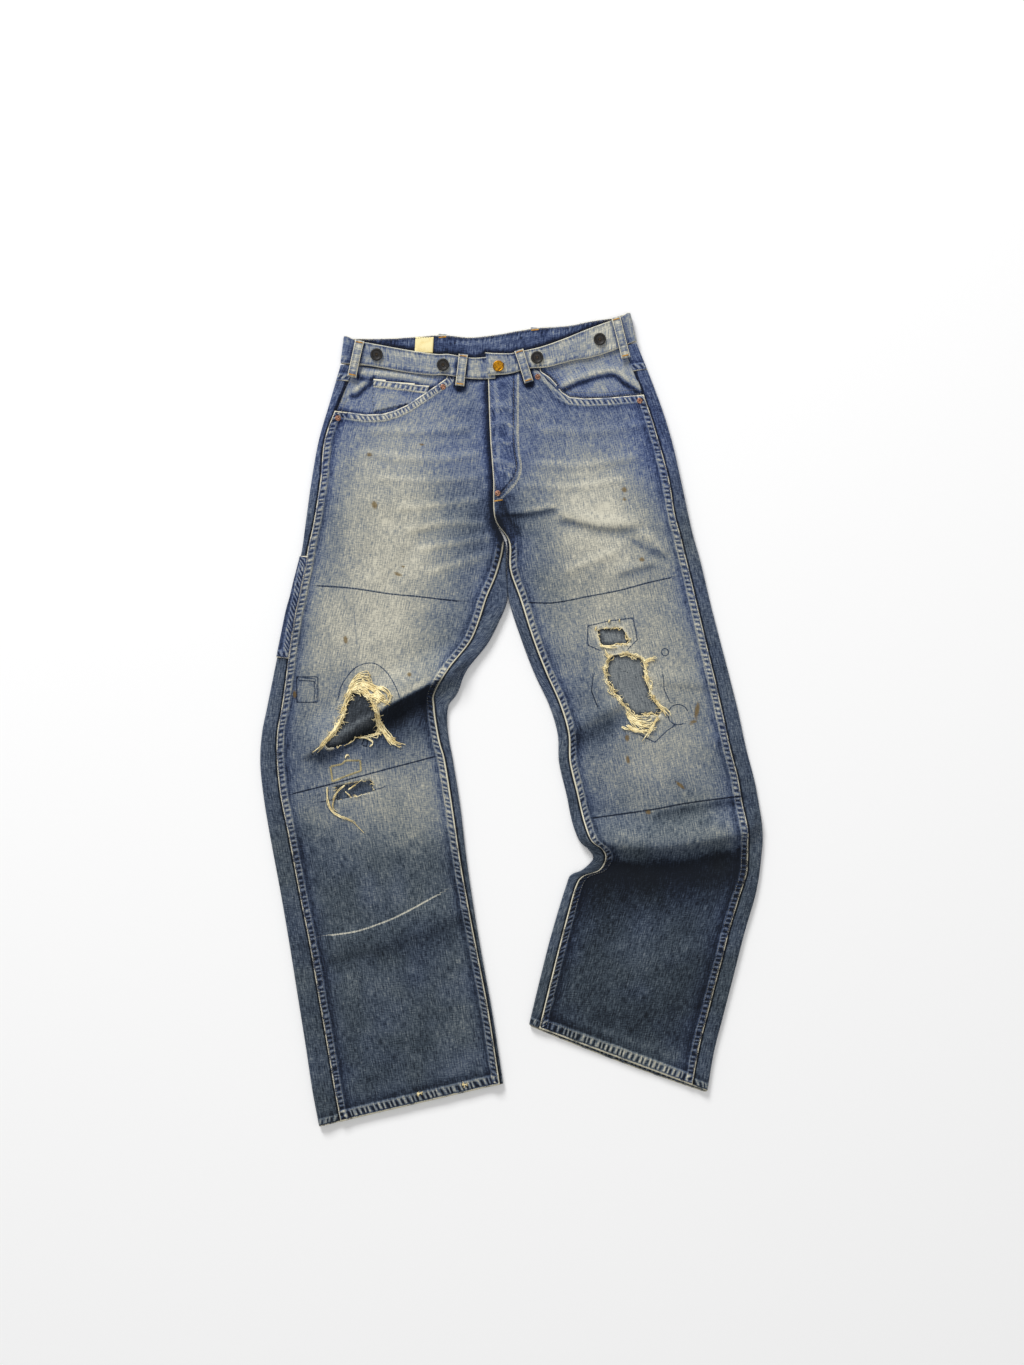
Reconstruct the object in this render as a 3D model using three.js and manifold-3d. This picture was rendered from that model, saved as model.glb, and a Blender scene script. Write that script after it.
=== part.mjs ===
// Ripped straight-leg jeans laid flat on their back, as one three.js group.
// Millimetres. +Z is up, +Y runs to the waist and +X to the wearer's left leg.
// Each cut-and-sewn piece is its own closed mesh, so every piece keeps a seam
// gap to its neighbours. The legs are flattened tubes: a back panel that wraps
// round both edges of the leg and a front panel that closes it on top.
import * as THREE from 'three';
import { mergeVertices } from 'three/addons/utils/BufferGeometryUtils.js';
import Module from 'manifold-3d';

// ---------------------------------------------------------------- sizes (mm)
const CLOTH = 1.2;            // one layer of denim
const HEM = 2.2;              // turned hem
const BAND = 2.4;             // waistband, folded double
const SEAM_GAP = 0.3;         // half of it on each side of a seam
const LAYER_STEP = 1.6;       // mid surface to mid surface of two layers
const LEG_LOFT = 4.9;         // upper layer above the lower one, in the legs
const EDGE_ROLL = 1.8;        // extra loft where the leg turns over
const EDGE_ROLL_AT = 9;       // distance of that roll from the edge
const HIP_LIFT = 1.6;         // room for the back pockets under the seat
const LIFT_FROM = { right: 15, left: 170 }; // height on the leg where that room starts
const BACK_RISE = 1.6;        // the back rises to its waistband
const HIP_LOFT = 6.4;         // loft over the hips, for the pocket facings
const BAND_WIDTH = 37;        // waistband, edge to edge
const BACK_BAND_Z = 4.6;      // mid height of the back waistband
const FRONT_BAND_Z = 10.2;    // mid height of the front waistband
const FLY_LAP = 7;            // left front laps over the right front
const FLY_STEP = 0.95;        // each front's share of the step at the lap
const LOOP_WIDTH = 12.5;
const LOOP_THICK = 1.8;
const BRACES_BUTTON = { radius: 8.5, height: 3.2 };
const BACK_BUTTON = { radius: 8.5, height: 2.6 };
const WAIST_BUTTON = { radius: 7.6, height: 3.4 };
const RIVET = { radius: 3.6, height: 1.3 };
const ROUND_SEGMENTS = 20;

// Stations down each leg: outer edge x, y, distance in to the outseam, then
// the inseam (centre front above the crotch) x, y, distance on to the inner edge.
const RIGHT_LEG = [
  [-234, 489, 18, -32, 467, 0], [-248, 441, 12, -31, 435, 0],
  [-264, 386, 8, -29, 386, 0], [-274, 331, 12, -25, 331, 0],
  [-282, 274, 11, -23, 278, 0], [-287, 237, 8, -11, 247, 2],
  [-292, 214, 9, -19, 206, 11.5], [-298, 191, 10, -34, 169, 28],
  [-303, 170, 11, -44, 138, 26], [-309, 148, 12, -57, 108, 23],
  [-318, 104, 14, -85, 72, 23], [-329, 50, 18, -105, 39, 30],
  [-336, 16, 20, -106, 20, 19], [-343, -20, 21, -103, -5, 14],
  [-345, -60, 23, -98, -31, 12], [-340, -108, 23, -91, -57, 10],
  [-331, -162, 25, -81, -120, 10], [-317, -237, 25, -70, -195, 8],
  [-305, -307, 27, -58, -262, 6], [-294, -376, 28, -45, -329, 4.5],
  [-283, -445, 29, -32, -397, 4], [-273, -511, 30, -22, -461, 4],
  [-264, -558, 30, -16, -500, 4],
];
const LEFT_LEG = [
  [171, 519, 16, -32, 467, 0], [201, 443, 18, -31, 435, 0],
  [219, 387, 18, -29, 386, 0], [232, 331, 16, -25, 331, 0],
  [242, 284, 18, -23, 278, 0], [249, 254, 17, -4, 247, 2.5],
  [256, 230, 18, -2, 208, 3.5], [263, 203, 18, 12, 167, 15],
  [275, 153, 18, 30, 111, 15], [287, 107, 19, 47, 67, 15],
  [299, 61, 20, 66, 24, 14], [311, 13, 21, 78, -17, 14],
  [322, -38, 21, 80, -57, 14], [332, -76, 21, 90, -100, 14],
  [338, -105, 22, 99, -138, 15], [344, -145, 21, 109, -164, 15],
  [345, -167, 20, 124, -176, 18], [343, -188, 18, 129, -190, 16],
  [341, -207, 17, 120, -206, 22], [338, -226, 19, 98, -214, 16],
  [333, -248, 21, 88, -228, 12], [320, -292, 21, 78, -263, 13],
  [305, -351, 21, 66, -309, 14], [290, -409, 21, 54, -357, 14],
  [278, -456, 21, 45, -394, 14], [269, -509, 22, 38, -423, 14],
];
const CROTCH_STATION = 5;
// how many mesh rows each interval between stations gets
const RIGHT_ROWS = [1, 1, 1, 1, 1, 1, 1, 1, 1, 2, 2, 2, 2, 2, 2, 2, 2, 2, 2, 1, 1, 1];
const LEFT_ROWS = [1, 1, 1, 1, 1, 1, 1, 1, 2, 2, 2, 2, 2, 2, 1, 1, 1, 1, 1, 1, 1, 2, 1, 1, 1];

// Folds laid over the loft. Each is a crest (or, with a negative height, a
// trough) along a line: height, then the reach to its left and right side.
const FOLDS = [
  { line: [[-256, -34], [-186, 13], [-119, 49], [-84, 66]], height: 12, left: 46, right: 20 },
  { line: [[-228, -27], [-170, -2], [-125, 22]], height: -2, left: 10, right: 26 },
  { line: [[-243, -315], [-153, -296], [-71, -262]], height: 4, left: 34, right: 18 },
  { line: [[-119, 255], [-174, 179]], height: -1.2, left: 20, right: 20 },
  { line: [[87, -10], [122, 8], [146, 21]], height: 3, left: 20, right: 12 },
  { line: [[102, -163], [177, -171], [232, -167], [284, -158]], height: 12, left: 40, right: 22 },
  { line: [[170, 272], [120, 272], [74, 284]], height: 2, left: 12, right: 16 },
  { line: [[204, 55], [276, 48]], height: 2, left: 22, right: 12 },
];

// Pocket mouths, from the waistband round to the side seam
const MOUTH_RIGHT = [[-86, 500], [-89, 470], [-109, 456], [-130, 442], [-144, 433],
  [-159, 426], [-177, 421], [-201, 420], [-222, 423], [-275, 428], [-275, 520]];
const MOUTH_LEFT = [[34, 510], [41, 479], [53, 471], [63, 460], [69, 451], [80, 444],
  [101, 442], [132, 443], [164, 446], [240, 452], [240, 560], [120, 560]];

// Small pocket on the right facing; the pocket mouth cuts its lower corner
const WATCH_POCKET = [[-190, 475], [-190, 426], [-130, 440], [-116, 450], [-112, 467]];

// Torn holes in the fronts
const KNEE_HOLE_RIGHT = [[-219, 41], [-200, 35], [-188, 24], [-184, 9], [-181, -16],
  [-206, -23], [-229, -32], [-251, -38], [-254, -28], [-241, -13], [-233, 1], [-230, 17]];
const SLIT_RIGHT = [[-242, -90], [-192, -82], [-189, -97], [-240, -110]];
const KNEE_HOLE_LEFT = [[138, 89], [177, 87], [184, 67], [192, 36], [206, 16], [203, 6],
  [171, 6], [152, 25], [137, 45], [130, 56], [130, 72]];
const WINDOW_LEFT = [[118, 123], [152, 127], [162, 105], [124, 102]];

const COLOURS = { denim: 0x4a587c, faded: 0x97a09f, patch: 0x3e4855, band: 0x55648a,
  button: 0x2a2320, brass: 0xa5720f, copper: 0x8a6a5a, label: 0xe8e2cf };

// ------------------------------------------------------------------- helpers
const wasm = await Module();
wasm.setup();
const lerp = (a, b, t) => a + (b - a) * t;
const smooth = (a, b, v) => {
  const t = Math.min(1, Math.max(0, (v - a) / (b - a)));
  return t * t * (3 - 2 * t);
};

function material(colour, roughness = 0.9, metalness = 0) {
  return new THREE.MeshStandardMaterial({ color: colour, roughness, metalness });
}

// A value of the station table at a station number that may fall between two
// rows, or a little before the first one.
function station(table, v) {
  const i = Math.min(table.length - 2, Math.max(0, Math.floor(v)));
  const t = v - i;
  const before = table[Math.max(0, i - 1)];
  const after = table[Math.min(table.length - 1, i + 2)];
  return table[i].map((p1, k) => {
    const p2 = table[i + 1][k];
    if (t < 0) return lerp(p1, p2, t);
    const m1 = (p2 - before[k]) / 2;
    const m2 = (after[k] - p1) / 2;
    return (2 * t ** 3 - 3 * t ** 2 + 1) * p1 + (t ** 3 - 2 * t ** 2 + t) * m1
      + (3 * t ** 2 - 2 * t ** 3) * p2 + (t ** 3 - t ** 2) * m2;
  });
}

function stationNumbers(rows) {
  const numbers = [0];
  rows.forEach((count, i) => {
    for (let k = 1; k <= count; k += 1) numbers.push(i + k / count);
  });
  return numbers;
}

// Height that the folds add at a place
function foldHeight(x, y) {
  let total = 0;
  for (const { line, height, left, right } of FOLDS) {
    let best = { d: Infinity, side: 1 };
    for (let i = 0; i + 1 < line.length; i += 1) {
      const [ax, ay] = line[i];
      const dx = line[i + 1][0] - ax;
      const dy = line[i + 1][1] - ay;
      const length = Math.hypot(dx, dy);
      const along = ((x - ax) * dx + (y - ay) * dy) / length;
      const t = Math.min(length, Math.max(0, along));
      const d = Math.hypot(x - ax - dx * t / length, y - ay - dy * t / length);
      if (d < best.d) {
        const side = Math.sign((y - ay) * dx - (x - ax) * dy) || 1;
        best = { d, side };
      }
    }
    const reach = best.side > 0 ? left : right;
    const t = Math.min(1, best.d / reach);
    total += height * (0.5 + 0.5 * Math.cos(Math.PI * t));
  }
  return total;
}

// Mid height of the lower layer before it rises to the back waistband
function seatZ(right, y) {
  const from = LIFT_FROM[right ? 'right' : 'left'];
  return CLOTH / 2 + HIP_LIFT * smooth(from, from + 45, y);
}

function lowerZ(right, y) {
  return seatZ(right, y) + BACK_RISE * smooth(425, 478, y);
}

// Mid height of the upper layer, at a distance from the nearer edge
function upperZ(right, x, y, edge) {
  const loft = lerp(LEG_LOFT, HIP_LOFT, smooth(190, 300, y));
  const roll = EDGE_ROLL * Math.exp(-(((edge - EDGE_ROLL_AT) / 8) ** 2));
  const fold = foldHeight(x, y) * lerp(0.5, 1, smooth(0, 14, edge));
  return seatZ(right, y) + loft + roll + fold;
}

// One row across a leg: gives the mid surface at any distance from the outer
// edge, on the upper or lower layer, and round either edge.
function row(right, v) {
  const table = right ? RIGHT_LEG : LEFT_LEG;
  const [ox, oy, outseam, sx, sy, beyond] = station(table, v);
  const length = Math.hypot(sx - ox, sy - oy);
  const ux = (sx - ox) / length;
  const uy = (sy - oy) / length;
  const width = length + beyond;
  const at = (d) => [ox + ux * d, oy + uy * d];
  const hem = smooth(table.length - 1.5, table.length - 1.3, v) * (HEM - CLOTH) / 2;
  const legged = v >= CROTCH_STATION;
  const upper = (d) => {
    const [x, y] = at(d);
    const edge = legged ? Math.min(d, width - d) : d;
    return [x, y, upperZ(right, x, y, Math.max(edge, 0)) + hem];
  };
  const lower = (d) => {
    const [x, y] = at(d);
    return [x, y, lowerZ(right, y) + hem];
  };
  const turn = (inner) => {
    const probe = inner ? width - 4 : 4;
    const high = upper(probe)[2];
    const low = lower(probe)[2];
    const radius = (high - low) / 2;
    const reach = Math.min(radius, inner ? Math.max(0.9, beyond * 0.42) : 6);
    return { low, radius, reach };
  };
  // round an edge: angle 90 is on top, -90 is underneath
  const round = (inner, degrees) => {
    const { low, radius, reach } = turn(inner);
    const a = degrees * Math.PI / 180;
    const d = reach - reach * Math.cos(a);
    const [x, y] = at(inner ? width - d : d);
    return [x, y, low + radius + radius * Math.sin(a)];
  };
  return { at, upper, lower, round, turn, width, length, outseam, legged };
}

// A closed wall of cloth from a grid of mid-surface points. Quads whose
// corners are missing are left out, and every free edge gets a side wall.
function wall(grid, thickness = () => CLOTH) {
  const rows = grid.length;
  const cols = grid[0].length;
  const has = (i, j) => i >= 0 && j >= 0 && i < rows && j < cols && grid[i][j] !== null;
  const point = (i, j) => new THREE.Vector3(...grid[i][j]);
  const step = (i, j, di, dj) => {
    const a = has(i - di, j - dj) ? point(i - di, j - dj) : point(i, j);
    const b = has(i + di, j + dj) ? point(i + di, j + dj) : point(i, j);
    return b.sub(a);
  };
  const positions = [];
  const index = grid.map((line) => line.map(() => -1));
  for (let i = 0; i < rows; i += 1) {
    for (let j = 0; j < cols; j += 1) {
      if (!has(i, j)) continue;
      const normal = step(i, j, 0, 1).cross(step(i, j, 1, 0)).normalize().negate();
      const half = thickness(i, j) / 2;
      index[i][j] = positions.length / 3;
      const p = point(i, j);
      positions.push(...p.clone().addScaledVector(normal, half).toArray());
      positions.push(...p.clone().addScaledVector(normal, -half).toArray());
    }
  }
  const faces = [];
  const edges = new Map();
  const addTop = (a, b, c) => {
    faces.push(a, b, c);
    faces.push(c + 1, b + 1, a + 1);
    for (const [p, q] of [[a, b], [b, c], [c, a]]) edges.set(`${p},${q}`, [p, q]);
  };
  for (let i = 0; i + 1 < rows; i += 1) {
    for (let j = 0; j + 1 < cols; j += 1) {
      if (!(has(i, j) && has(i + 1, j) && has(i, j + 1) && has(i + 1, j + 1))) continue;
      const [a, b, c, d] = [index[i][j], index[i + 1][j], index[i + 1][j + 1], index[i][j + 1]];
      addTop(a, b, c);
      addTop(a, c, d);
    }
  }
  for (const [p, q] of edges.values()) {
    if (edges.has(`${q},${p}`)) continue;
    faces.push(p, p + 1, q + 1, p, q + 1, q);
  }
  const geometry = new THREE.BufferGeometry();
  geometry.setAttribute('position', new THREE.Float32BufferAttribute(positions, 3));
  geometry.setIndex(faces);
  return facingOut(mergeVertices(geometry, 1e-4));
}

function volume(geometry) {
  const p = geometry.getAttribute('position');
  const index = geometry.getIndex().array;
  const [a, b, c] = [new THREE.Vector3(), new THREE.Vector3(), new THREE.Vector3()];
  let total = 0;
  for (let i = 0; i < index.length; i += 3) {
    a.fromBufferAttribute(p, index[i]);
    b.fromBufferAttribute(p, index[i + 1]);
    c.fromBufferAttribute(p, index[i + 2]);
    total += a.dot(b.cross(c)) / 6;
  }
  return total;
}

function facingOut(geometry) {
  if (volume(geometry) < 0) {
    const index = geometry.getIndex().array;
    for (let i = 0; i < index.length; i += 3) [index[i], index[i + 1]] = [index[i + 1], index[i]];
  }
  return geometry;
}

function toSolid(geometry) {
  const bare = geometry.clone();
  bare.deleteAttribute('normal');
  bare.deleteAttribute('uv');
  const merged = mergeVertices(bare, 1e-4);
  return new wasm.Manifold(new wasm.Mesh({
    numProp: 3,
    vertProperties: Float32Array.from(merged.getAttribute('position').array),
    triVerts: Uint32Array.from(merged.getIndex().array),
  }));
}

function fromSolid(solid) {
  const mesh = solid.getMesh();
  const geometry = new THREE.BufferGeometry();
  geometry.setAttribute('position', new THREE.BufferAttribute(mesh.vertProperties, 3));
  geometry.setIndex(new THREE.BufferAttribute(mesh.triVerts, 1));
  return geometry;
}

// A prism over an outline, tall enough to cut through every layer of a front
function cutter(outline) {
  const shape = new THREE.Shape(outline.map(([x, y]) => new THREE.Vector2(x, y)));
  const geometry = new THREE.ExtrudeGeometry(shape, { depth: 80, bevelEnabled: false });
  return geometry.translate(0, 0, -10);
}

function cut(geometry, outlines) {
  let solid = toSolid(geometry);
  for (const outline of outlines) solid = solid.subtract(toSolid(cutter(outline)));
  return fromSolid(solid);
}

function keep(geometry, outline) {
  return fromSolid(toSolid(geometry).intersect(toSolid(cutter(outline))));
}

function shrink(outline, by) {
  const cx = outline.reduce((sum, p) => sum + p[0], 0) / outline.length;
  const cy = outline.reduce((sum, p) => sum + p[1], 0) / outline.length;
  return outline.map(([x, y]) => {
    const d = Math.hypot(x - cx, y - cy);
    return [x + (x - cx) * by / d, y + (y - cy) * by / d];
  });
}

const group = new THREE.Group();
function add(name, geometry, colour, roughness, metalness) {
  const mesh = new THREE.Mesh(geometry, material(colour, roughness, metalness));
  mesh.name = name;
  group.add(mesh);
  return mesh;
}

// A layer that follows a grid, moved along its normals
function layer(grid, by) {
  const rows = grid.length;
  const cols = grid[0].length;
  return grid.map((line, i) => line.map((p, j) => {
    const vector = (k, l) => new THREE.Vector3(...grid[k][l]);
    const across = vector(i, Math.min(cols - 1, j + 1)).sub(vector(i, Math.max(0, j - 1)));
    const down = vector(Math.min(rows - 1, i + 1), j).sub(vector(Math.max(0, i - 1), j));
    const normal = down.cross(across).normalize();
    if (normal.z < 0) normal.negate();
    return [p[0] + normal.x * by, p[1] + normal.y * by, p[2] + normal.z * by];
  }));
}

// ------------------------------------------------------------- front panels
const FRONT_COLUMNS = [0, 0.1, 0.22, 0.36, 0.5, 0.64, 0.78, 0.9, 1];
// columns just inside the fly, so that the lapped strip stays flat
const FLY_STRIP = 26;
const FRONT_TOP = 0.09;       // station where the fronts meet the waistband

function frontGrid(right) {
  const rows = stationNumbers(right ? RIGHT_ROWS : LEFT_ROWS);
  rows[0] = FRONT_TOP;
  return rows.map((v) => {
    const r = row(right, v);
    const fade = 1 - smooth(4, 4.9, v);
    const lap = right ? FLY_LAP * (1 - smooth(2.9, 4, v)) : 0;
    const from = r.outseam + SEAM_GAP;
    const strip = lerp(0.1 * r.length, FLY_STRIP, fade);
    const to = r.length - SEAM_GAP;
    return FRONT_COLUMNS.map((f, j) => {
      let d = lerp(from, to - strip, f / 0.9);
      if (j === FRONT_COLUMNS.length - 1) d = to + lap;
      const p = r.upper(d);
      const lapped = fade * smooth(FLY_STRIP + 30, FLY_STRIP, r.length - d);
      p[2] += (right ? -FLY_STEP : FLY_STEP) * lapped;
      return p;
    });
  });
}

function hemWall(grid, lastRows = 1) {
  return wall(grid, (i) => (i >= grid.length - lastRows ? HEM : CLOTH));
}

const fronts = [];
const frontRight = frontGrid(true);
const frontLeft = frontGrid(false);
fronts.push(
  add('front_right', cut(hemWall(frontRight), [MOUTH_RIGHT, KNEE_HOLE_RIGHT, SLIT_RIGHT]),
    COLOURS.faded),
  add('front_left', cut(hemWall(frontLeft), [MOUTH_LEFT, KNEE_HOLE_LEFT, WINDOW_LEFT]),
    COLOURS.faded),
);

// --------------------------------------- layers seen through mouths and holes
function pocketFacing(name, grid, outline) {
  const reach = 6;
  const lower = layer(grid.slice(0, 5), -LAYER_STEP);
  add(name, keep(wall(lower), shrink(outline, reach)), COLOURS.denim);
}
pocketFacing('pocket_facing_right', frontRight, MOUTH_RIGHT);
pocketFacing('pocket_facing_left', frontLeft, MOUTH_LEFT);

add('watch_pocket', keep(keep(wall(layer(frontRight.slice(0, 4), 0.02)), shrink(MOUTH_RIGHT, -1.4)),
  WATCH_POCKET), COLOURS.denim);

// Mending patches behind the knees, held by stitching at top and bottom
function kneePatch(name, grid, firstRow, lastRow) {
  const rows = grid.slice(firstRow, lastRow + 1).map((line) => line.slice(0, -1));
  add(name, wall(layer(rows, -LAYER_STEP)), COLOURS.patch);
}
kneePatch('knee_patch_right', frontRight, 7, 24);
kneePatch('knee_patch_left', frontLeft, 7, 21);

// --------------------------------------------------- course of the waistband
// Bottom and top edge of the band at each point, from the end under the fly,
// across the right front, round the right side, over the back, and back to
// the fly end on top.
const RIGHT_EDGE = { bottom: [-234, 490], top: [-229, 528] };
const LEFT_EDGE = { bottom: [171, 520], top: [162, 560] };
const FRONT_RIGHT_BAND = [
  [[-22, 469.5], [-25, 500]], [[-32, 469], [-36, 499]], [[-57, 469], [-57, 498]],
  [[-91, 474], [-86, 503]], [[-111, 474], [-104, 503]], [[-145, 478], [-145, 509]],
  [[-196, 487], [-194, 518]], [[-217, 489], [-212, 521]],
];
const BACK_BAND = [
  [-218, 525], [-192, 525], [-154, 526], [-96, 530], [-57, 527], [-19, 531],
  [28, 539], [78, 543], [108, 549], [138, 553],
];
const FRONT_LEFT_BAND = [
  [[155, 514], [148, 553]], [[138, 507], [137, 549]], [[109, 498], [109, 539]],
  [[85, 494], [77, 526]], [[50, 485], [44, 514]], [[25, 483], [19, 508]],
  [[-2, 476], [-2, 504]], [[-20, 474], [-22, 504]], [[-32, 474], [-36, 505]],
];

// Lower edge of the band on the back, at a place across
function bandBottom(x) {
  const points = [RIGHT_EDGE.bottom, ...BACK_BAND.map(([bx, by]) => [bx - 2, by - BAND_WIDTH]),
    LEFT_EDGE.bottom];
  const i = Math.max(0, Math.min(points.length - 2, points.findIndex((p) => p[0] > x) - 1));
  const [[ax, ay], [bx, by]] = [points[i], points[i + 1]];
  return lerp(ay, by, Math.min(1, Math.max(0, (x - ax) / (bx - ax))));
}

// -------------------------------------------------------------- back panels
const ARC = [90, 30, -30, -90];
const UNDER = [0.2, 0.5, 0.8];

// How far down the yoke seam lies at a fraction across the back
const yokeSeam = (f) => lerp(0.5, 1.35, f);
const YOKE_GAP = 0.012;       // in stations, about 0.5 mm
const BAND_GAP = 1.6;         // yoke to waistband, allows for its slope

function backRow(right, v, seamGap = SEAM_GAP) {
  const r = row(right, v);
  const reach = r.turn(false).reach;
  const points = [r.upper(r.outseam - seamGap), r.upper(lerp(r.outseam, reach, 0.55))];
  ARC.forEach((a) => points.push(r.round(false, a)));
  const endReach = r.legged ? r.turn(true).reach : 0.9;
  const start = reach;
  const end = r.width - endReach;
  UNDER.forEach((f) => points.push(r.lower(lerp(start, end, f))));
  if (!r.legged) {
    points.push(r.lower(end));
    for (let k = 0; k < ARC.length; k += 1) points.push(null);
    points.push(null);
    return points;
  }
  [...ARC].reverse().forEach((a) => points.push(r.round(true, a)));
  const innerTop = r.width - r.turn(true).reach;
  const inseam = r.length + seamGap;
  points.push(r.upper(Math.min(lerp(inseam, innerTop, 0.5), innerTop - 0.25)));
  points.push(r.upper(Math.min(inseam, innerTop - 0.5)));
  return points;
}

const COLUMN_COUNT = 2 + ARC.length + UNDER.length + ARC.length + 2;
const FIRST_UNDER = 2 + ARC.length;
const across = (j) => Math.min(1, Math.max(0, (j - FIRST_UNDER + 1) / (UNDER.length + 1)));
const backLine = (right, vAt) => Array.from({ length: COLUMN_COUNT }, (_, j) => (
  backRow(right, vAt(j))[j]));

// Station number at which a column of the back meets the waistband
function underBand(right, j) {
  if (backRow(right, 1)[j] === null) return 0;
  let [low, high] = [-1.2, 1];
  for (let k = 0; k < 24; k += 1) {
    const v = (low + high) / 2;
    const [x, y] = backRow(right, v)[j];
    if (y > bandBottom(x) - BAND_GAP) low = v;
    else high = v;
  }
  return j < FIRST_UNDER ? Math.max(high, FRONT_TOP) : high;
}

function backGrid(right) {
  const rows = stationNumbers(right ? RIGHT_ROWS : LEFT_ROWS).filter((v) => v >= 2);
  return [
    backLine(right, (j) => yokeSeam(across(j)) + YOKE_GAP),
    backLine(right, (j) => lerp(1, 1.7, across(j))),
    ...rows.map((v) => backRow(right, v)),
  ];
}

function yokeGrid(right) {
  return [0, 0.5, 1].map((t) => backLine(right, (j) => (
    lerp(underBand(right, j), yokeSeam(across(j)) - YOKE_GAP, t))));
}
for (const right of [true, false]) {
  const side = right ? 'right' : 'left';
  add(`back_${side}`, hemWall(backGrid(right)), COLOURS.denim);
  add(`yoke_${side}`, wall(yokeGrid(right)), COLOURS.denim);
}

// ---------------------------------------------------------------- waistband
function waistbandGrid() {
  const columns = [];
  const put = (bottom, top, z) => {
    const middle = [lerp(bottom[0], top[0], 0.5), lerp(bottom[1], top[1], 0.5)];
    columns.push([[...bottom, z], [...middle, z + 0.25], [...top, z]]);
  };
  const lapZ = (x) => FRONT_BAND_Z - 1.7 * smooth(-52, -40, x);
  for (const [bottom, top] of FRONT_RIGHT_BAND) put(bottom, top, lapZ(bottom[0]));
  const side = (edge, sign, angles) => {
    const radius = (FRONT_BAND_Z - BACK_BAND_Z) / 2;
    for (const degrees of angles) {
      const a = degrees * Math.PI / 180;
      const shift = sign * (radius - radius * Math.cos(a));
      put([edge.bottom[0] + shift, edge.bottom[1]], [edge.top[0] + shift, edge.top[1]],
        BACK_BAND_Z + radius + radius * Math.sin(a));
    }
  };
  side(RIGHT_EDGE, 1, ARC);
  for (const [x, y] of BACK_BAND) put([x - 2, y - BAND_WIDTH], [x, y], BACK_BAND_Z);
  side(LEFT_EDGE, -1, [...ARC].reverse());
  for (const [bottom, top] of FRONT_LEFT_BAND) {
    put(bottom, top, FRONT_BAND_Z + 1.1 * smooth(-2, -14, bottom[0]));
  }
  const rows = columns[0].length;
  return Array.from({ length: rows }, (_, i) => columns.map((column) => column[i]));
}
const bandGrid = waistbandGrid();
add('waistband', wall(bandGrid, () => BAND), COLOURS.band);

// Bare woven label inside the back of the band
const label = new THREE.BoxGeometry(25, 22, 0.6);
label.translate(-120, 517, BACK_BAND_Z + BAND / 2 + SEAM_GAP + 0.6);
add('size_label', label, COLOURS.label);

// --------------------------------------------------------------- belt loops
// A strip over the band from one end to the other, bowed in the middle
function beltLoop(name, top, bottom, z, bow) {
  const dx = bottom[0] - top[0];
  const dy = bottom[1] - top[1];
  const length = Math.hypot(dx, dy);
  const side = [-dy / length * LOOP_WIDTH / 2, dx / length * LOOP_WIDTH / 2];
  const grid = [0, 0.15, 0.35, 0.65, 0.85, 1].map((t) => {
    const x = top[0] + dx * t;
    const y = top[1] + dy * t;
    const lift = z + bow * Math.sin(Math.PI * t) ** 0.7;
    return [-1, 1].map((s) => [x + s * side[0], y + s * side[1], lift]);
  });
  add(name, wall(grid, () => LOOP_THICK), COLOURS.denim);
}
const LOOP_Z = FRONT_BAND_Z + BAND / 2 + SEAM_GAP + LOOP_THICK / 2 + 0.3;
beltLoop('belt_loop_side_right', [-208, 521], [-219, 471], LOOP_Z, 1.8);
beltLoop('belt_loop_front_right', [-66, 502], [-71, 459], LOOP_Z, 1.8);
beltLoop('belt_loop_front_left', [10, 508], [24, 464], LOOP_Z, 1.8);
beltLoop('belt_loop_side_left', [143, 553], [157, 497], LOOP_Z, 1.8);
const BACK_LOOP_Z = LOOP_THICK / 2 + 0.25;
beltLoop('belt_loop_back_right', [-95, 532], [-99, 486], BACK_LOOP_Z, 0);
beltLoop('belt_loop_back_left', [32, 541], [30, 492], BACK_LOOP_Z, 0);

// -------------------------------------------------------- buttons and rivets
function button({ radius, height }, dish) {
  const profile = [
    [0, 0], [radius * 0.86, 0], [radius, height * 0.35], [radius * 0.97, height * 0.75],
    [radius * 0.84, height], [radius * 0.68, height * (1 - dish * 0.4)],
    [radius * 0.5, height * (1 - dish)], [0, height * (1 - dish)],
  ].map(([x, y]) => new THREE.Vector2(x, y));
  const geometry = new THREE.LatheGeometry(profile, ROUND_SEGMENTS);
  return geometry.rotateX(Math.PI / 2);
}

function place(name, geometry, x, y, z, colour, roughness, metalness) {
  const bare = geometry.clone();
  bare.deleteAttribute('normal');
  bare.deleteAttribute('uv');
  const closed = facingOut(mergeVertices(bare, 1e-4));
  const mesh = add(name, closed, colour, roughness, metalness);
  mesh.position.set(x, y, z);
}

const ON_BAND = FRONT_BAND_Z + BAND / 2 + SEAM_GAP + 0.3;
const FRONT_BUTTONS = [['outer_right', -185, 503], ['inner_right', -94, 489],
  ['inner_left', 35, 499], ['outer_left', 121, 524]];
for (const [where, x, y] of FRONT_BUTTONS) {
  place(`braces_button_${where}`, button(BRACES_BUTTON, 0.35), x, y, ON_BAND,
    COLOURS.button, 0.4, 0.1);
}
const BACK_BUTTONS = [['back_right', -70, 510], ['back_left', 6, 517]];
for (const [where, x, y] of BACK_BUTTONS) {
  const turned = button(BACK_BUTTON, 0.35).rotateX(Math.PI);
  place(`braces_button_${where}`, turned, x, y, 2.9, COLOURS.button, 0.4, 0.1);
}
place('waist_button', button(WAIST_BUTTON, 0.25), -18, 487, ON_BAND + 1.1,
  COLOURS.brass, 0.45, 0.9);

function rivet() {
  const { radius, height } = RIVET;
  const profile = [
    [0, 0], [radius, 0], [radius, height * 0.35], [radius * 0.72, height * 0.55],
    [radius * 0.5, height], [0, height * 0.9],
  ].map(([x, y]) => new THREE.Vector2(x, y));
  return new THREE.LatheGeometry(profile, 14).rotateX(Math.PI / 2);
}

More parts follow.
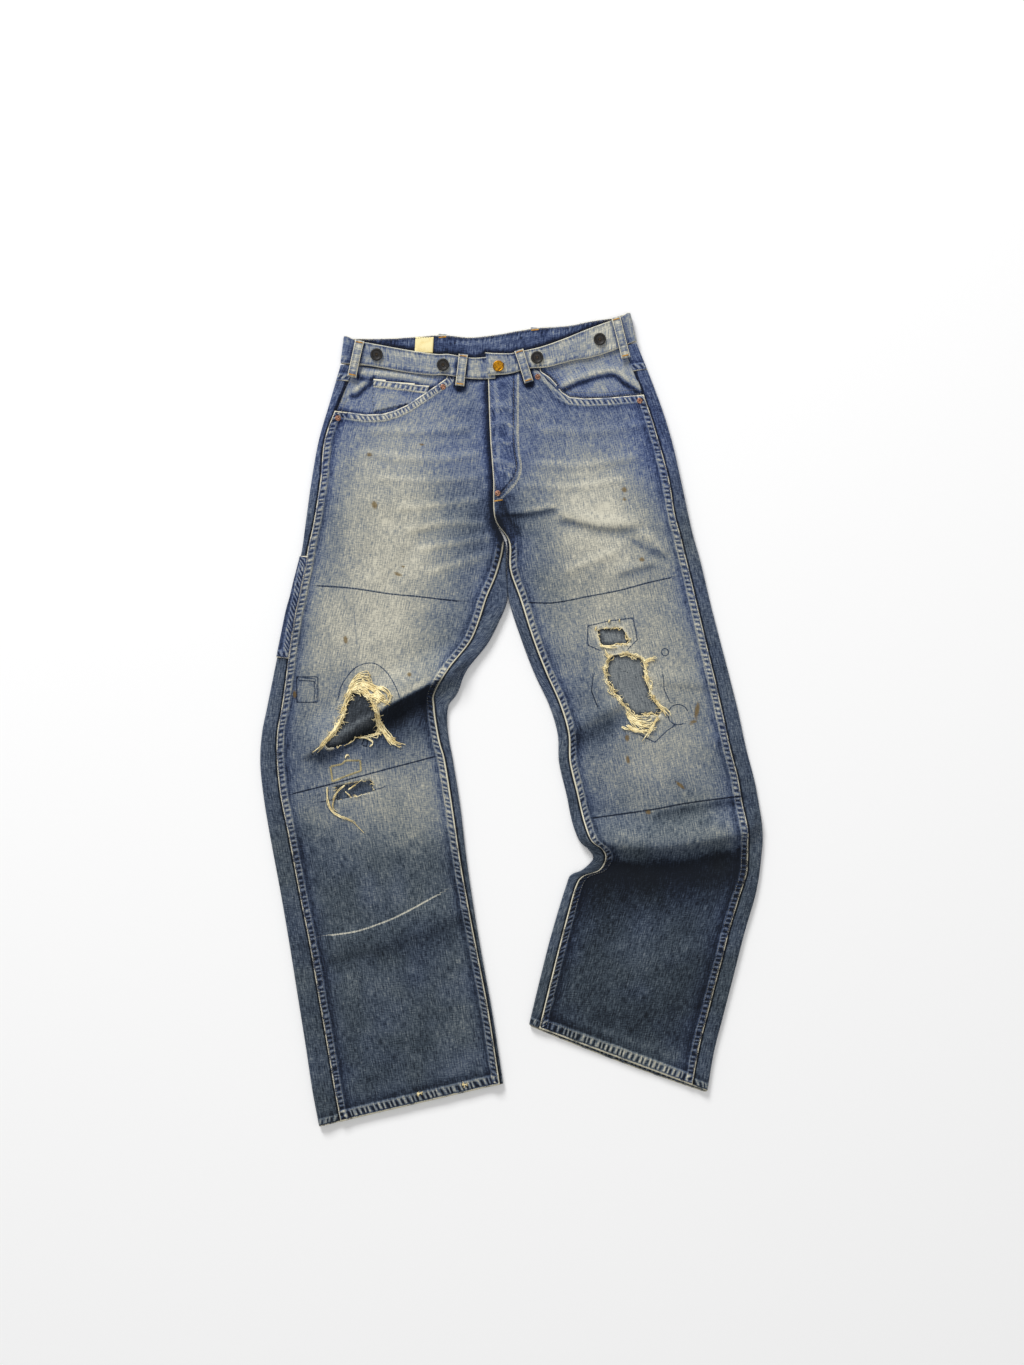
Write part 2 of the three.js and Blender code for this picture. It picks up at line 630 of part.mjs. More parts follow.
// Height of the cloth under a small disc
function clothTop(x, y, radius) {
  const down = new THREE.Vector3(0, 0, -1);
  const spots = [[0, 0], [radius, 0], [-radius, 0], [0, radius], [0, -radius]];
  const hits = spots.flatMap(([dx, dy]) => new THREE.Raycaster(
    new THREE.Vector3(x + dx, y + dy, 60), down).intersectObjects(fronts));
  return Math.max(...hits.map((hit) => hit.point.z));
}
const RIVETS = [['mouth_right', -94, 459], ['side_right', -238, 416], ['mouth_left', 36, 473],
  ['side_left', 176, 440], ['fly', -19, 313]];
const rivetHeights = RIVETS.map(([, x, y]) => clothTop(x, y, RIVET.radius));
RIVETS.forEach(([where, x, y], i) => {
  place(`rivet_${where}`, rivet(), x, y, rivetHeights[i] + SEAM_GAP, COLOURS.copper, 0.5, 0.9);
});

// ------------------------------------------------------------- back pockets
const BACK_POCKET = [[-72, 0], [72, 0], [76, -118], [0, -160], [-76, -118]];
const POCKET_AT = { right: [-150, 418, 0.05], left: [118, 418, -0.05] };
for (const side of ['right', 'left']) {
  const [x, y, turn] = POCKET_AT[side];
  const shape = new THREE.Shape(BACK_POCKET.map(([px, py]) => new THREE.Vector2(px, py)));
  const geometry = new THREE.ExtrudeGeometry(shape, { depth: CLOTH, bevelEnabled: false });
  geometry.rotateZ(turn);
  place(`back_pocket_${side}`, geometry, x, y, 0, COLOURS.denim);
}

// Tool pocket on the outside of the right leg, following the back panel's
// points from just behind the outseam round the edge to underneath.
const TOOL_POCKET_ROWS = [5.45, 6, 7, 8, 9, 10, 10.35];   // station numbers
const TOOL_POCKET_COLUMNS = 7;
const TOOL_POCKET_SEAM = 2.5;                             // clear of the outseam
function toolPocket() {
  const rows = TOOL_POCKET_ROWS.map((v) => (
    backRow(true, v, TOOL_POCKET_SEAM).slice(0, TOOL_POCKET_COLUMNS)));
  const last = rows.length - 1;
  const centre = (line) => line.reduce((s, p) => (
    [s[0] + p[0] / line.length, 0, s[2] + p[2] / line.length]), [0, 0, 0]);
  const moved = rows.map((line, i) => line.map((p, j) => {
    const a = line[Math.max(0, j - 1)];
    const b = line[Math.min(line.length - 1, j + 1)];
    const along = new THREE.Vector3(b[0] - a[0], b[1] - a[1], b[2] - a[2]).normalize();
    const down = new THREE.Vector3(...rows[Math.min(last, i + 1)][j])
      .sub(new THREE.Vector3(...rows[Math.max(0, i - 1)][j])).normalize();
    const normal = along.cross(down).normalize();
    const c = centre(line);
    if (normal.x * (p[0] - c[0]) + 4 * normal.z * (p[2] - c[2]) < 0) normal.negate();
    return [p[0] + normal.x * LAYER_STEP, p[1] + normal.y * LAYER_STEP,
      p[2] + normal.z * LAYER_STEP];
  }));
  return wall(moved);
}
add('tool_pocket', toolPocket(), COLOURS.denim);

// ------------------------------------ origin at the bottom, under the middle
group.updateMatrixWorld(true);
const bounds = new THREE.Box3().setFromObject(group, true);
const middle = bounds.getCenter(new THREE.Vector3());
group.position.set(-middle.x, -middle.y, -bounds.min.z);

export default group;
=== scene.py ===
"""Ripped jeans laid flat on their back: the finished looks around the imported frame.

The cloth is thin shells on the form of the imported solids, in millimetres until a
mesh is made. +Y runs to the waist, +X to the wearer's left leg, +Z up.
"""
import math
from functools import partial

import bmesh
import bpy
import numpy as np
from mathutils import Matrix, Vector
from mathutils.bvhtree import BVHTree


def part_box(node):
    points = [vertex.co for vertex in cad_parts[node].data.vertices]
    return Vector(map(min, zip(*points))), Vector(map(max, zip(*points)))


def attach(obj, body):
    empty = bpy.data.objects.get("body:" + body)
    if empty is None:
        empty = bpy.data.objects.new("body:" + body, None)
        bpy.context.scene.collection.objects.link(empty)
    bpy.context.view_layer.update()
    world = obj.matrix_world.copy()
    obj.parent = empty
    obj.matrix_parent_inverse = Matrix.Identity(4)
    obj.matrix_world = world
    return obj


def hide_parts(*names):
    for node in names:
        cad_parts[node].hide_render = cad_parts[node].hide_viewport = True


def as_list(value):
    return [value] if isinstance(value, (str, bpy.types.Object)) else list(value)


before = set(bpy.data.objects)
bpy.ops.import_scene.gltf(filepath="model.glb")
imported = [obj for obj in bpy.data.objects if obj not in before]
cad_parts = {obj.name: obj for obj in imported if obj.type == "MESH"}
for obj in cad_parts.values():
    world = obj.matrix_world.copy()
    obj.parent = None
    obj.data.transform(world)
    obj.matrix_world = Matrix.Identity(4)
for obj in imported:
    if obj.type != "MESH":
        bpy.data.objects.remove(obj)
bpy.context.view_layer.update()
MM = 0.001

# ---- sizes (mm)
CLOTH = 1.2           # thickness of the denim
HEM = 2.2             # thickness of a turned hem
BAND = 2.4            # thickness of the folded waistband
LEG_LOFT = 4.9        # from the back's cloth up to the front's, on the legs
HIP_LOFT = 6.4        # the same at the hips
EDGE_ROLL = 1.8       # how much higher a leg's rolled edge stands
EDGE_ROLL_AT = 9.0    # how far in from the edge that is
HIP_LIFT = 1.6        # how far the pockets under the seat lift the back
LIFT_FROM = {"right": 15.0, "left": 170.0}     # the y where that lift starts
BACK_RISE = 1.6       # how far the back then rises to the waistband
BAND_WIDTH = 37.0
BACK_BAND_Z = 4.6     # height of the band's middle behind
FRONT_BAND_Z = 10.2   # and in front
FLY_LAP = 7.0         # how far the right front reaches under the fly
FLY_STEP = 0.95       # how far the left front rises and the right one sinks there
CELL = 3.0            # size of the cloth's quads
RIM_REACH = 3.4       # how far a quad's corner may move to lie on a cut edge
PUCKER = 7.0          # from one pucker of a sewn edge to the next
SEAM_LINES = (2.3, 8.6)      # stitch lines of a felled seam, from its edge
MOUTH_LINES = (2.0, 8.0)     # stitch lines of a pocket mouth
HEM_DEPTH = 12.5             # stitch line of a hem
SEAM_DEPTH = 9.0             # depth that the look of a sewn edge is drawn for

# Stations down each leg: outer edge x, y, distance in to the outseam, then the
# inseam (centre front above the crotch) x, y, distance on to the inner edge.
LEGS = {
    "right": np.array([
        [-234, 489, 18, -32, 467, 0], [-248, 441, 12, -31, 435, 0],
        [-264, 386, 8, -29, 386, 0], [-274, 331, 12, -25, 331, 0],
        [-282, 274, 11, -23, 278, 0], [-287, 237, 8, -11, 247, 2],
        [-292, 214, 9, -19, 206, 11.5], [-298, 191, 10, -34, 169, 28],
        [-303, 170, 11, -44, 138, 26], [-309, 148, 12, -57, 108, 23],
        [-318, 104, 14, -85, 72, 23], [-329, 50, 18, -105, 39, 30],
        [-336, 16, 20, -106, 20, 19], [-343, -20, 21, -103, -5, 14],
        [-345, -60, 23, -98, -31, 12], [-340, -108, 23, -91, -57, 10],
        [-331, -162, 25, -81, -120, 10], [-317, -237, 25, -70, -195, 8],
        [-305, -307, 27, -58, -262, 6], [-294, -376, 28, -45, -329, 4.5],
        [-283, -445, 29, -32, -397, 4], [-273, -511, 30, -22, -461, 4],
        [-264, -558, 30, -16, -500, 4]], float),
    "left": np.array([
        [171, 519, 16, -32, 467, 0], [201, 443, 18, -31, 435, 0],
        [219, 387, 18, -29, 386, 0], [232, 331, 16, -25, 331, 0],
        [242, 284, 18, -23, 278, 0], [249, 254, 17, -4, 247, 2.5],
        [256, 230, 18, -2, 208, 3.5], [263, 203, 18, 12, 167, 15],
        [275, 153, 18, 30, 111, 15], [287, 107, 19, 47, 67, 15],
        [299, 61, 20, 66, 24, 14], [311, 13, 21, 78, -17, 14],
        [322, -38, 21, 80, -57, 14], [332, -76, 21, 90, -100, 14],
        [338, -105, 22, 99, -138, 15], [344, -145, 21, 109, -164, 15],
        [345, -167, 20, 124, -176, 18], [343, -188, 18, 129, -190, 16],
        [341, -207, 17, 120, -206, 22], [338, -226, 19, 98, -214, 16],
        [333, -248, 21, 88, -228, 12], [320, -292, 21, 78, -263, 13],
        [305, -351, 21, 66, -309, 14], [290, -409, 21, 54, -357, 14],
        [278, -456, 21, 45, -394, 14], [269, -509, 22, 38, -423, 14]], float),
}
CROTCH = 5.0          # station number of the crotch

# Creases that stand up and are rubbed pale: crest line, height, reach to its left and to
# its right, then how far above it the pale line lies, its half width and its amount
RUBBED_CREASES = [
    # right thigh
    ([(-48, 303), (-100, 296), (-150, 292)], 1.1, 8, 10, 0, 5, 0.13),
    ([(-40, 272), (-95, 270), (-140, 262)], 1.2, 8, 10, 0, 5, 0.16),
    ([(-30, 252), (-80, 243), (-125, 236)], 1.2, 8, 9, 0, 5, 0.16),
    ([(-28, 230), (-75, 214), (-112, 205)], 1.0, 8, 9, 0, 5, 0.14),
    # left thigh, from the crotch outwards
    ([(-9, 286), (24, 288), (56, 293)], 1.6, 9, 7, 0, 4, 0.14),
    ([(170, 272), (120, 272), (74, 284)], 2.0, 12, 16, 0, 6, 0.08),
    ([(166, 256), (190, 252), (210, 232)], 1.5, 10, 10, 0, 5, 0.08),
    ([(78, 207), (122, 225), (140, 232)], 1.3, 10, 12, 0, 5, 0.08),
    # whiskers across the hips
    ([(-60, 402), (-120, 396), (-190, 398)], 1.1, 9, 10, 2, 6, 0.06),
    ([(-50, 364), (-120, 358), (-200, 366)], 1.0, 9, 10, 2, 6, 0.08),
    ([(-46, 334), (-110, 328), (-180, 332)], 0.9, 8, 9, 2, 5, 0.08),
    ([(40, 400), (110, 396), (190, 408)], 1.0, 9, 10, 2, 6, 0.05),
    ([(34, 352), (100, 350), (170, 362)], 1.0, 9, 10, 2, 6, 0.07),
    ([(20, 322), (80, 320), (150, 330)], 0.9, 8, 9, 2, 5, 0.08),
]
# The other folds: crest line, height, reach to its left and to its right
FOLDS = [
    *[crease[:4] for crease in RUBBED_CREASES],
    # right knee: the cloth piles up over the knee and drops steeply below it
    ([(-256, -34), (-219, -9), (-186, 13), (-153, 31), (-119, 49), (-84, 66)], 12.0, 46, 20),
    ([(-228, -27), (-170, -2), (-125, 22)], -2.0, 10, 26),
    # right shin: a low crest and the hollow below it
    ([(-243, -315), (-153, -296), (-71, -262)], 3.2, 34, 22),
    ([(-243, -333), (-153, -318), (-71, -284)], -0.7, 12, 30),
    # right thigh
    ([(-119, 255), (-174, 179)], -1.2, 20, 20),
    # left thigh
    ([(74, 270), (122, 258), (168, 256)], -1.4, 10, 14),
    ([(152, 206), (190, 217)], 1.3, 9, 9),
    # creases over the buttons under the fly, and the ridge of its curved stitching
    ([(-28, 428), (-14, 431), (4, 427)], 1.0, 6, 6), ([(-27, 405), (-12, 409), (6, 404)], 0.9, 6, 6),
    ([(-26, 378), (-12, 383), (6, 380)], 1.0, 6, 6), ([(-24, 352), (-12, 356), (8, 350)], 0.9, 6, 6),
    ([(6, 470), (6, 382), (10, 350), (4, 332), (-8, 316), (-20, 306)], 0.8, 3.5, 4.5),
    # left knee
    ([(87, -10), (122, 8), (146, 21)], 3.0, 20, 12),
    ([(85, -38), (122, -17), (152, 3)], -1.5, 12, 24),
    ([(204, 55), (276, 48)], 2.0, 22, 12),
    # left shin: the leg folds over itself above the shin
    ([(102, -163), (177, -171), (232, -167), (284, -158), (322, -150)], 13.0, 42, 22),
    ([(110, -196), (180, -200), (250, -196), (300, -190)], -2.2, 10, 40),
    ([(150, -330), (215, -322), (290, -318)], 1.8, 36, 30),
]

# The pocket mouths cut into the fronts, and the torn holes: outlines
MOUTHS = {
    "right": [(-86, 500), (-89, 470), (-109, 456), (-130, 442), (-144, 433), (-159, 426),
              (-177, 421), (-201, 420), (-222, 423), (-275, 428), (-275, 520)],
    "left": [(34, 510), (41, 479), (53, 471), (63, 460), (69, 451), (80, 444),
             (101, 442), (132, 443), (164, 446), (240, 452), (240, 560), (120, 560)],
}
HOLES = {
    "right": [
        [(-219, 41), (-210, 40), (-200, 35), (-191, 28), (-188, 22), (-184, 9), (-183, -4),
         (-181, -16), (-193, -20), (-206, -23), (-218, -28), (-229, -32), (-240, -36),
         (-251, -38), (-255, -33), (-254, -28), (-248, -21), (-241, -13), (-236, -5),
         (-233, 1), (-231, 9), (-230, 17), (-226, 28)],
        [(-242, -90), (-222, -86), (-192, -82), (-189, -97), (-214, -104), (-240, -110)],
    ],
    "left": [
        [(138, 89), (156, 92), (177, 87), (183, 80), (184, 67), (188, 50), (193, 36), (200, 24),
         (206, 16), (203, 6), (188, 8), (171, 6), (163, 13), (152, 25), (144, 35), (137, 45),
         (131, 55), (129, 68), (132, 80)],
        [(118, 123), (124, 126), (152, 127), (158, 118), (162, 105), (124, 102)],
    ],
}


# ---- plain helpers
def smooth(a, b, v):
    """An eased step from 0 at a to 1 at b."""
    t = np.clip((v - a) / (b - a), 0.0, 1.0)
    return t * t * (3 - 2 * t)


def lerp(a, b, t):
    return a + (b - a) * t


def bell(d, width):
    """A soft hump round zero that falls off over a width."""
    return np.exp(-(d / width) ** 2)


def noise(x, y, scale, seed):
    """Smooth value noise from -1 to 1, on a lattice this many millimetres wide."""
    gx, gy = np.nan_to_num(np.asarray(x, float)) / scale, np.nan_to_num(np.asarray(y, float)) / scale
    ix, iy = np.floor(gx).astype(np.int64), np.floor(gy).astype(np.int64)
    fx, fy = gx - ix, gy - iy
    fx, fy = fx * fx * (3 - 2 * fx), fy * fy * (3 - 2 * fy)

    def corner(i, j):
        n = (i * 374761393 + j * 668265263 + seed * 1442695041) & 0xFFFFFFFF
        n = ((n ^ (n >> 13)) * 1274126177) & 0xFFFFFFFF
        return ((n ^ (n >> 16)) & 0xFFFF) / 32767.5 - 1

    low = lerp(corner(ix, iy), corner(ix + 1, iy), fx)
    high = lerp(corner(ix, iy + 1), corner(ix + 1, iy + 1), fx)
    return lerp(low, high, fy)


def curve_through(points, steps=6):
    """A Catmull-Rom curve through a few points, as a denser list of points."""
    p = np.asarray(points, float)
    if len(p) < 3:
        return p
    ends = np.vstack([2 * p[0] - p[1], p, 2 * p[-1] - p[-2]])
    t = np.linspace(0, 1, steps, endpoint=False)[:, None]
    parts = []
    for a, b, c, d in zip(ends, ends[1:], ends[2:], ends[3:]):
        parts.append(0.5 * (2 * b + (c - a) * t + (2 * a - 5 * b + 4 * c - d) * t ** 2
                            + (3 * b - a - 3 * c + d) * t ** 3))
    return np.vstack([*parts, p[-1:]])


def nearest(x, y, line):
    """The nearest point of a line of points: x, y, its distance, and which side of the
    line the place is on (1 is left)."""
    found = np.array([x, y, np.full(np.shape(x), 1e9), np.ones(np.shape(x))])
    for (ax, ay), (bx, by) in zip(line, line[1:]):
        dx, dy = bx - ax, by - ay
        t = np.clip(((x - ax) * dx + (y - ay) * dy) / (dx * dx + dy * dy), 0, 1)
        qx, qy = ax + dx * t, ay + dy * t
        d = np.hypot(x - qx, y - qy)
        side = np.where((y - ay) * dx - (x - ax) * dy < 0, -1.0, 1.0)
        found = np.where(d < found[2], [qx, qy, d, side], found)
    return found


def to_line(x, y, line):
    """Distance to a line of points, and which side of it (1 is left)."""
    _, _, d, side = nearest(x, y, line)
    return d, side


def inside(x, y, outline):
    """Which places lie inside a closed outline."""
    result = np.zeros(np.shape(x), bool)
    for (ax, ay), (bx, by) in zip(outline, [*outline[1:], outline[0]]):
        if ay == by:
            continue
        crosses = (ay > y) != (by > y)
        at = ax + (y - ay) * (bx - ax) / (by - ay)
        result ^= crosses & (x < at)
    return result


def to_outline(x, y, outline):
    """Distance to a closed outline."""
    return nearest(x, y, [*outline, outline[0]])[2]


def path_run(points):
    """Distance along a path to each of its points, seen from above."""
    return np.concatenate([[0], np.cumsum(np.hypot(*np.diff(points[:, :2], axis=0).T))])


def turned(x, y, cx, cy, degrees):
    """Places measured from a centre, on axes turned by some degrees."""
    a = math.radians(degrees)
    return ((x - cx) * math.cos(a) + (y - cy) * math.sin(a),
            (y - cy) * math.cos(a) - (x - cx) * math.sin(a))


# ---- form of the legs
def stations(side, v):
    """The station values at numbers v, smoothly between the listed rows."""
    table = LEGS[side]
    v = np.atleast_1d(np.asarray(v, float))
    i = np.clip(np.floor(v).astype(int), 0, len(table) - 2)
    t = (v - i)[:, None]
    p0, p1 = table[np.maximum(i - 1, 0)], table[i]
    p2, p3 = table[i + 1], table[np.minimum(i + 2, len(table) - 1)]
    m1, m2 = (p2 - p0) / 2, (p3 - p1) / 2
    spline = ((2 * t ** 3 - 3 * t ** 2 + 1) * p1 + (t ** 3 - 2 * t ** 2 + t) * m1
              + (3 * t ** 2 - 2 * t ** 3) * p2 + (t ** 3 - t ** 2) * m2)
    return np.where(t < 0, lerp(p1, p2, t), spline)


FOLD_CURVES = [(curve_through(line), height, left, right) for line, height, left, right in FOLDS]


def near_line(x, y, line, reach):
    """Marks the places that a line's reach can touch."""
    return ((x > line[:, 0].min() - reach) & (x < line[:, 0].max() + reach)
            & (y > line[:, 1].min() - reach) & (y < line[:, 1].max() + reach))


def fold_height(x, y):
    """How far the folds lift the front."""
    total = np.zeros(np.shape(x))
    for line, height, left, right in FOLD_CURVES:
        near = near_line(x, y, line, max(left, right))
        if near.any():
            d, side = to_line(x[near], y[near], line)
            t = np.clip(d / np.where(side > 0, left, right), 0, 1)
            total[near] += height * (0.5 + 0.5 * np.cos(np.pi * t))
    return total


def seat_z(side, y):
    """Height of the back's cloth, over the pockets under the seat."""
    start = LIFT_FROM[side]
    return CLOTH / 2 + HIP_LIFT * smooth(start, start + 45, y)


def lower_z(side, x, y):
    return seat_z(side, y) + BACK_RISE * smooth(425, 478, y)


def upper_z(side, x, y, edge):
    """Height of the front's cloth, at some distance from the leg's edge."""
    loft = lerp(LEG_LOFT, HIP_LOFT, smooth(190, 300, y))
    roll = EDGE_ROLL * bell(edge - EDGE_ROLL_AT, 8)
    inner = smooth(0, 14, edge)
    ripple = 0.45 * noise(x, y, 34, 3) + 0.25 * noise(x, y, 15, 4)
    return seat_z(side, y) + loft + roll + fold_height(x, y) * lerp(0.5, 1, inner) + ripple * inner


class Rows:
    """Rows across a leg at station numbers v; d is the distance from the outer edge."""

    def __init__(self, side, v):
        self.side = side
        self.v = np.atleast_1d(np.asarray(v, float))
        ox, oy, self.outseam, sx, sy, self.beyond = stations(side, self.v).T
        self.length = np.hypot(sx - ox, sy - oy)
        self.ox, self.oy = ox, oy
        self.ux, self.uy = (sx - ox) / self.length, (sy - oy) / self.length
        self.width = self.length + self.beyond
        last = len(LEGS[side]) - 1
        self.hem = smooth(last - 0.5, last - 0.3, self.v) * (HEM - CLOTH) / 2

    def at(self, d):
        return self.ox + self.ux * d, self.oy + self.uy * d

    def upper(self, d):
        x, y = self.at(d)
        legged = smooth(CROTCH - 0.4, CROTCH + 1, self.v)
        edge = lerp(d, np.minimum(d, self.width - d), legged)
        return np.stack([x, y, upper_z(self.side, x, y, np.maximum(edge, 0)) + self.hem], -1)

    def lower(self, d):
        x, y = self.at(d)
        return np.stack([x, y, lower_z(self.side, x, y) + self.hem], -1)

    def round(self, inner, degrees):
        """Round the outer or inner edge: 90 is on top, -90 is underneath."""
        probe = self.width - 4 if inner else np.full_like(self.width, 4.0)
        high, low = self.upper(probe)[:, 2], self.lower(probe)[:, 2]
        radius = (high - low) / 2
        reach = self.reach(inner)
        a = math.radians(degrees)
        d = reach - reach * math.cos(a)
        x, y = self.at(self.width - d if inner else d)
        return np.stack([x, y, low + radius + radius * math.sin(a)], -1)

    def reach(self, inner):
        """How far in from the edge its round turn reaches."""
        probe = self.width - 4 if inner else np.full_like(self.width, 4.0)
        radius = (self.upper(probe)[:, 2] - self.lower(probe)[:, 2]) / 2
        limit = np.maximum(0.9, self.beyond * 0.42) if inner else 6.0
        return np.minimum(radius, limit)


def leg_rows(side, cell, start=0.0):
    """Station numbers for rows about a cell apart down the middle of the leg."""
    v = np.linspace(start, len(LEGS[side]) - 1, 1500)
    table = stations(side, v)
    middle = (table[:, 0:2] + table[:, 3:5]) / 2
    run = path_run(middle)
    count = int(run[-1] / cell)
    return np.interp(np.linspace(0, run[-1], count + 1), run, v)


def run_along(points):
    """Distance down each column of a grid of points, from its first row."""
    steps = np.linalg.norm(np.diff(points, axis=0), axis=2)
    return np.vstack([np.zeros(points.shape[1]), np.cumsum(steps, axis=0)])


# ---- wear of the cloth
# How faded the denim is, from 0, dark indigo, to 1, washed out to grey-beige.
# Each patch is x, y, its reach across and along, its turn in degrees, its amount.
WEAR = {
    "right": [
        (-172, 315, 58, 95, 6, 0.24), (-195, 105, 70, 105, 4, 0.28), (-165, 215, 74, 90, 0, 0.14),
        (-160, -112, 78, 50, 14, 0.19), (-60, 250, 46, 60, 0, -0.08), (-215, 410, 40, 50, 0, -0.08),
        (-105, 440, 60, 24, 0, 0.06), (-130, 110, 40, 60, 0, 0.04), (-110, 221, 34, 22, 10, 0.13),
        (-190, -10, 60, 26, 30, -0.06), (-290, 200, 14, 200, 4, 0.02), (-165, -230, 60, 40, 10, 0.02),
        (-150, -440, 60, 60, 0, -0.03), (-266, 130, 20, 90, 4, 0.08),
    ],
    "left": [
        (108, 304, 54, 54, -8, 0.25), (130, 225, 66, 70, -20, 0.26), (120, 130, 70, 70, -10, 0.10),
        (215, 50, 58, 90, -12, 0.24), (195, -85, 84, 52, -14, 0.11), (95, 60, 40, 90, -12, 0.02),
        (170, 395, 60, 60, 0, -0.04), (20, 400, 20, 80, 0, 0.0), (200, 250, 40, 60, 0, 0.05),
        (120, -20, 44, 22, 20, -0.14), (230, 170, 30, 60, -12, 0.02), (40, 240, 26, 40, 0, -0.06),
        (190, -478, 70, 24, -20, 0.22), (180, -322, 60, 36, 0, 0.03), (150, -400, 60, 30, -10, -0.04),
    ],
}
# Lines where the cloth has rubbed pale, and on the knee and shin crests also a painted highlight: points,
# half width, amount
RUBBED_AND_HIGHLIGHTED = [
    *[([(x, y + above) for x, y in line], half, amount)
      for line, _, _, _, above, half, amount in RUBBED_CREASES],
    ([(30, 336), (90, 338), (140, 346)], 4, 0.05), ([(-60, 384), (-130, 378), (-180, 382)], 4, 0.04),
    # the right knee's and left shin's crests: partly rubbed pale, partly a painted highlight where the crest
    # meets the light
    ([(-256, -30), (-186, 17), (-119, 53), (-84, 70)], 6, 0.16),
    ([(102, -158), (177, -164), (232, -160), (300, -150)], 9, 0.06),
]
# Painted shade in the hollows below crests and in creases, where the folds keep the light off: points, reach
# above, reach below, amount
PAINTED_SHADE_LINES = [
    ([(-186, 4), (-165, 20), (-140, 33), (-115, 46), (-86, 60)], 2.4, 38, 1.0),
    ([(-262, -44), (-232, -34), (-205, -22), (-185, -12)], 5, 16, 0.45),
    ([(80, -28), (118, -10), (152, 6)], 5, 16, 0.20),
    ([(104, -195), (177, -202), (232, -200), (286, -185)], 7, 46, 0.54),
    ([(190, -194), (270, -196), (300, -182)], 6, 26, 0.30),
    ([(-243, -326), (-153, -308), (-71, -276)], 8, 26, 0.06),
    ([(-20, 274), (-10, 242), (-12, 205)], 10, 10, 1.0),
    ([(74, 274), (122, 263), (168, 261)], 4, 9, 0.35), ([(166, 249), (205, 229)], 3, 8, 0.30),
    ([(204, -128), (259, -118), (314, -110)], 4, 9, 0.30),
    ([(-11, 283), (20, 284), (56, 290)], 1.8, 6, 0.55), ([(-12, 300), (-2, 276), (8, 262)], 4, 9, 0.5),
    ([(150, 200), (192, 212)], 3, 8, 0.25),
]
# Stitch lines that hold the patches behind the knees, above and below each
KNEE_LINES = {
    "right": [[(-266, 185), (-222, 182), (-167, 174), (-126, 170), (-75, 164)],
              [(-298, -100), (-250, -88), (-187, -71), (-107, -50)]],
    "left": [[(25, 162), (60, 162), (108, 171), (149, 179), (190, 190), (218, 196)],
             [(113, -134), (190, -123), (245, -113), (314, -104)]],
}
# Thin lines of wear, paler (+) or darker (-) than the cloth: points, half width, amount
THIN_LINES = {
    "right": [
        ([(-248, -295), (-214, -290), (-180, -279), (-150, -266), (-102, -240)], 0.8, 0.55),
        (KNEE_LINES["right"][0], 0.8, -0.42), (KNEE_LINES["right"][1], 0.8, -0.42),
        ([(-250, 120), (-249, 60)], 0.6, -0.10), ([(-216, 146), (-212, 100)], 0.6, -0.16),
    ],
    "left": [
        (KNEE_LINES["left"][0], 0.8, -0.38), (KNEE_LINES["left"][1], 0.8, -0.42),
        ([(9, 474), (9, 382), (13, 350), (9, 332), (1, 320), (-12, 307), (-22, 301)], 1.0, 0.40),
        ([(3, 474), (3, 382), (7, 350), (3, 336), (-4, 326), (-15, 314), (-23, 309)], 1.0, -0.28),
        ([(-28, 433), (-20, 436), (-8, 430)], 2.4, 0.14), ([(-24, 404), (-12, 410), (2, 403)], 2.0, 0.16),
        ([(-14, 386), (-6, 380), (5, 384)], 1.8, 0.15), ([(-24, 358), (-10, 355), (6, 347)], 2.2, 0.18),
        ([(-22, 462), (-19, 420), (-21, 388)], 2.2, 0.17), ([(-19, 376), (-16, 344)], 2.0, 0.20),
        ([(-6, 340), (2, 334)], 2.2, 0.16), ([(-2, 448), (-1, 424)], 2.0, 0.12),
    ],
}


def ring(x, y, radius, start=0, stop=360):
    """Points on an arc, every 20 degrees."""
    a = np.radians(np.arange(start, stop + 1, 20))
    return np.stack([x + radius * np.cos(a), y + radius * np.sin(a)], -1)


# Dark darning stitches round the holes: paths, curved where they have over five points
DARNS = {
    "right": [
        [(-239, 28), (-233, 49), (-215, 72), (-192, 79), (-174, 69), (-160, 49), (-153, 32)],
        [(-295, 60), (-266, 60), (-266, 25), (-295, 25), (-295, 60)],
        [(-290, 55), (-271, 54), (-271, 30)],
        [(-200, -18), (-206, -34), (-199, -36), (-197, -24)],
        [(-262, -112), (-232, -106), (-176, -92)],
    ],
    "left": [
        [(105, 130), (104, 104), (122, 96)], [(105, 130), (136, 137), (167, 141), (173, 111), (160, 98)],
        ring(229, 8, 14, 20, 300), [(226, -6), (215, -13), (197, -30), (177, -20)],
        ring(211, 94, 5), [(208, 63), (210, 42), (218, 25)], [(149, 72), (173, 58)],
        [(112, 60), (110, 40), (118, 20)], [(120, 112), (122, 120)],
    ],
}


def is_curved(path):
    return len(path) > 5


def line_field(side, x, y):
    """The nearest thin line: signed distance, half width and amount."""
    best = np.full(np.shape(x), 1e3)
    field = np.zeros((*np.shape(x), 3))
    field[..., 0] = 50.0
    worn = [(curve_through(points), half, amount) for points, half, amount in THIN_LINES[side]]
    darned = [(curve_through(path) if is_curved(path) else path, 0.6, -0.36) for path in DARNS[side]]
    for points, half, amount in worn + darned:
        d, turn = to_line(x, y, points)
        nearer = d < best
        best = np.where(nearer, d, best)
        field[nearer] = np.stack([d * turn, half + 0 * d, amount + 0 * d], -1)[nearer]
    return field


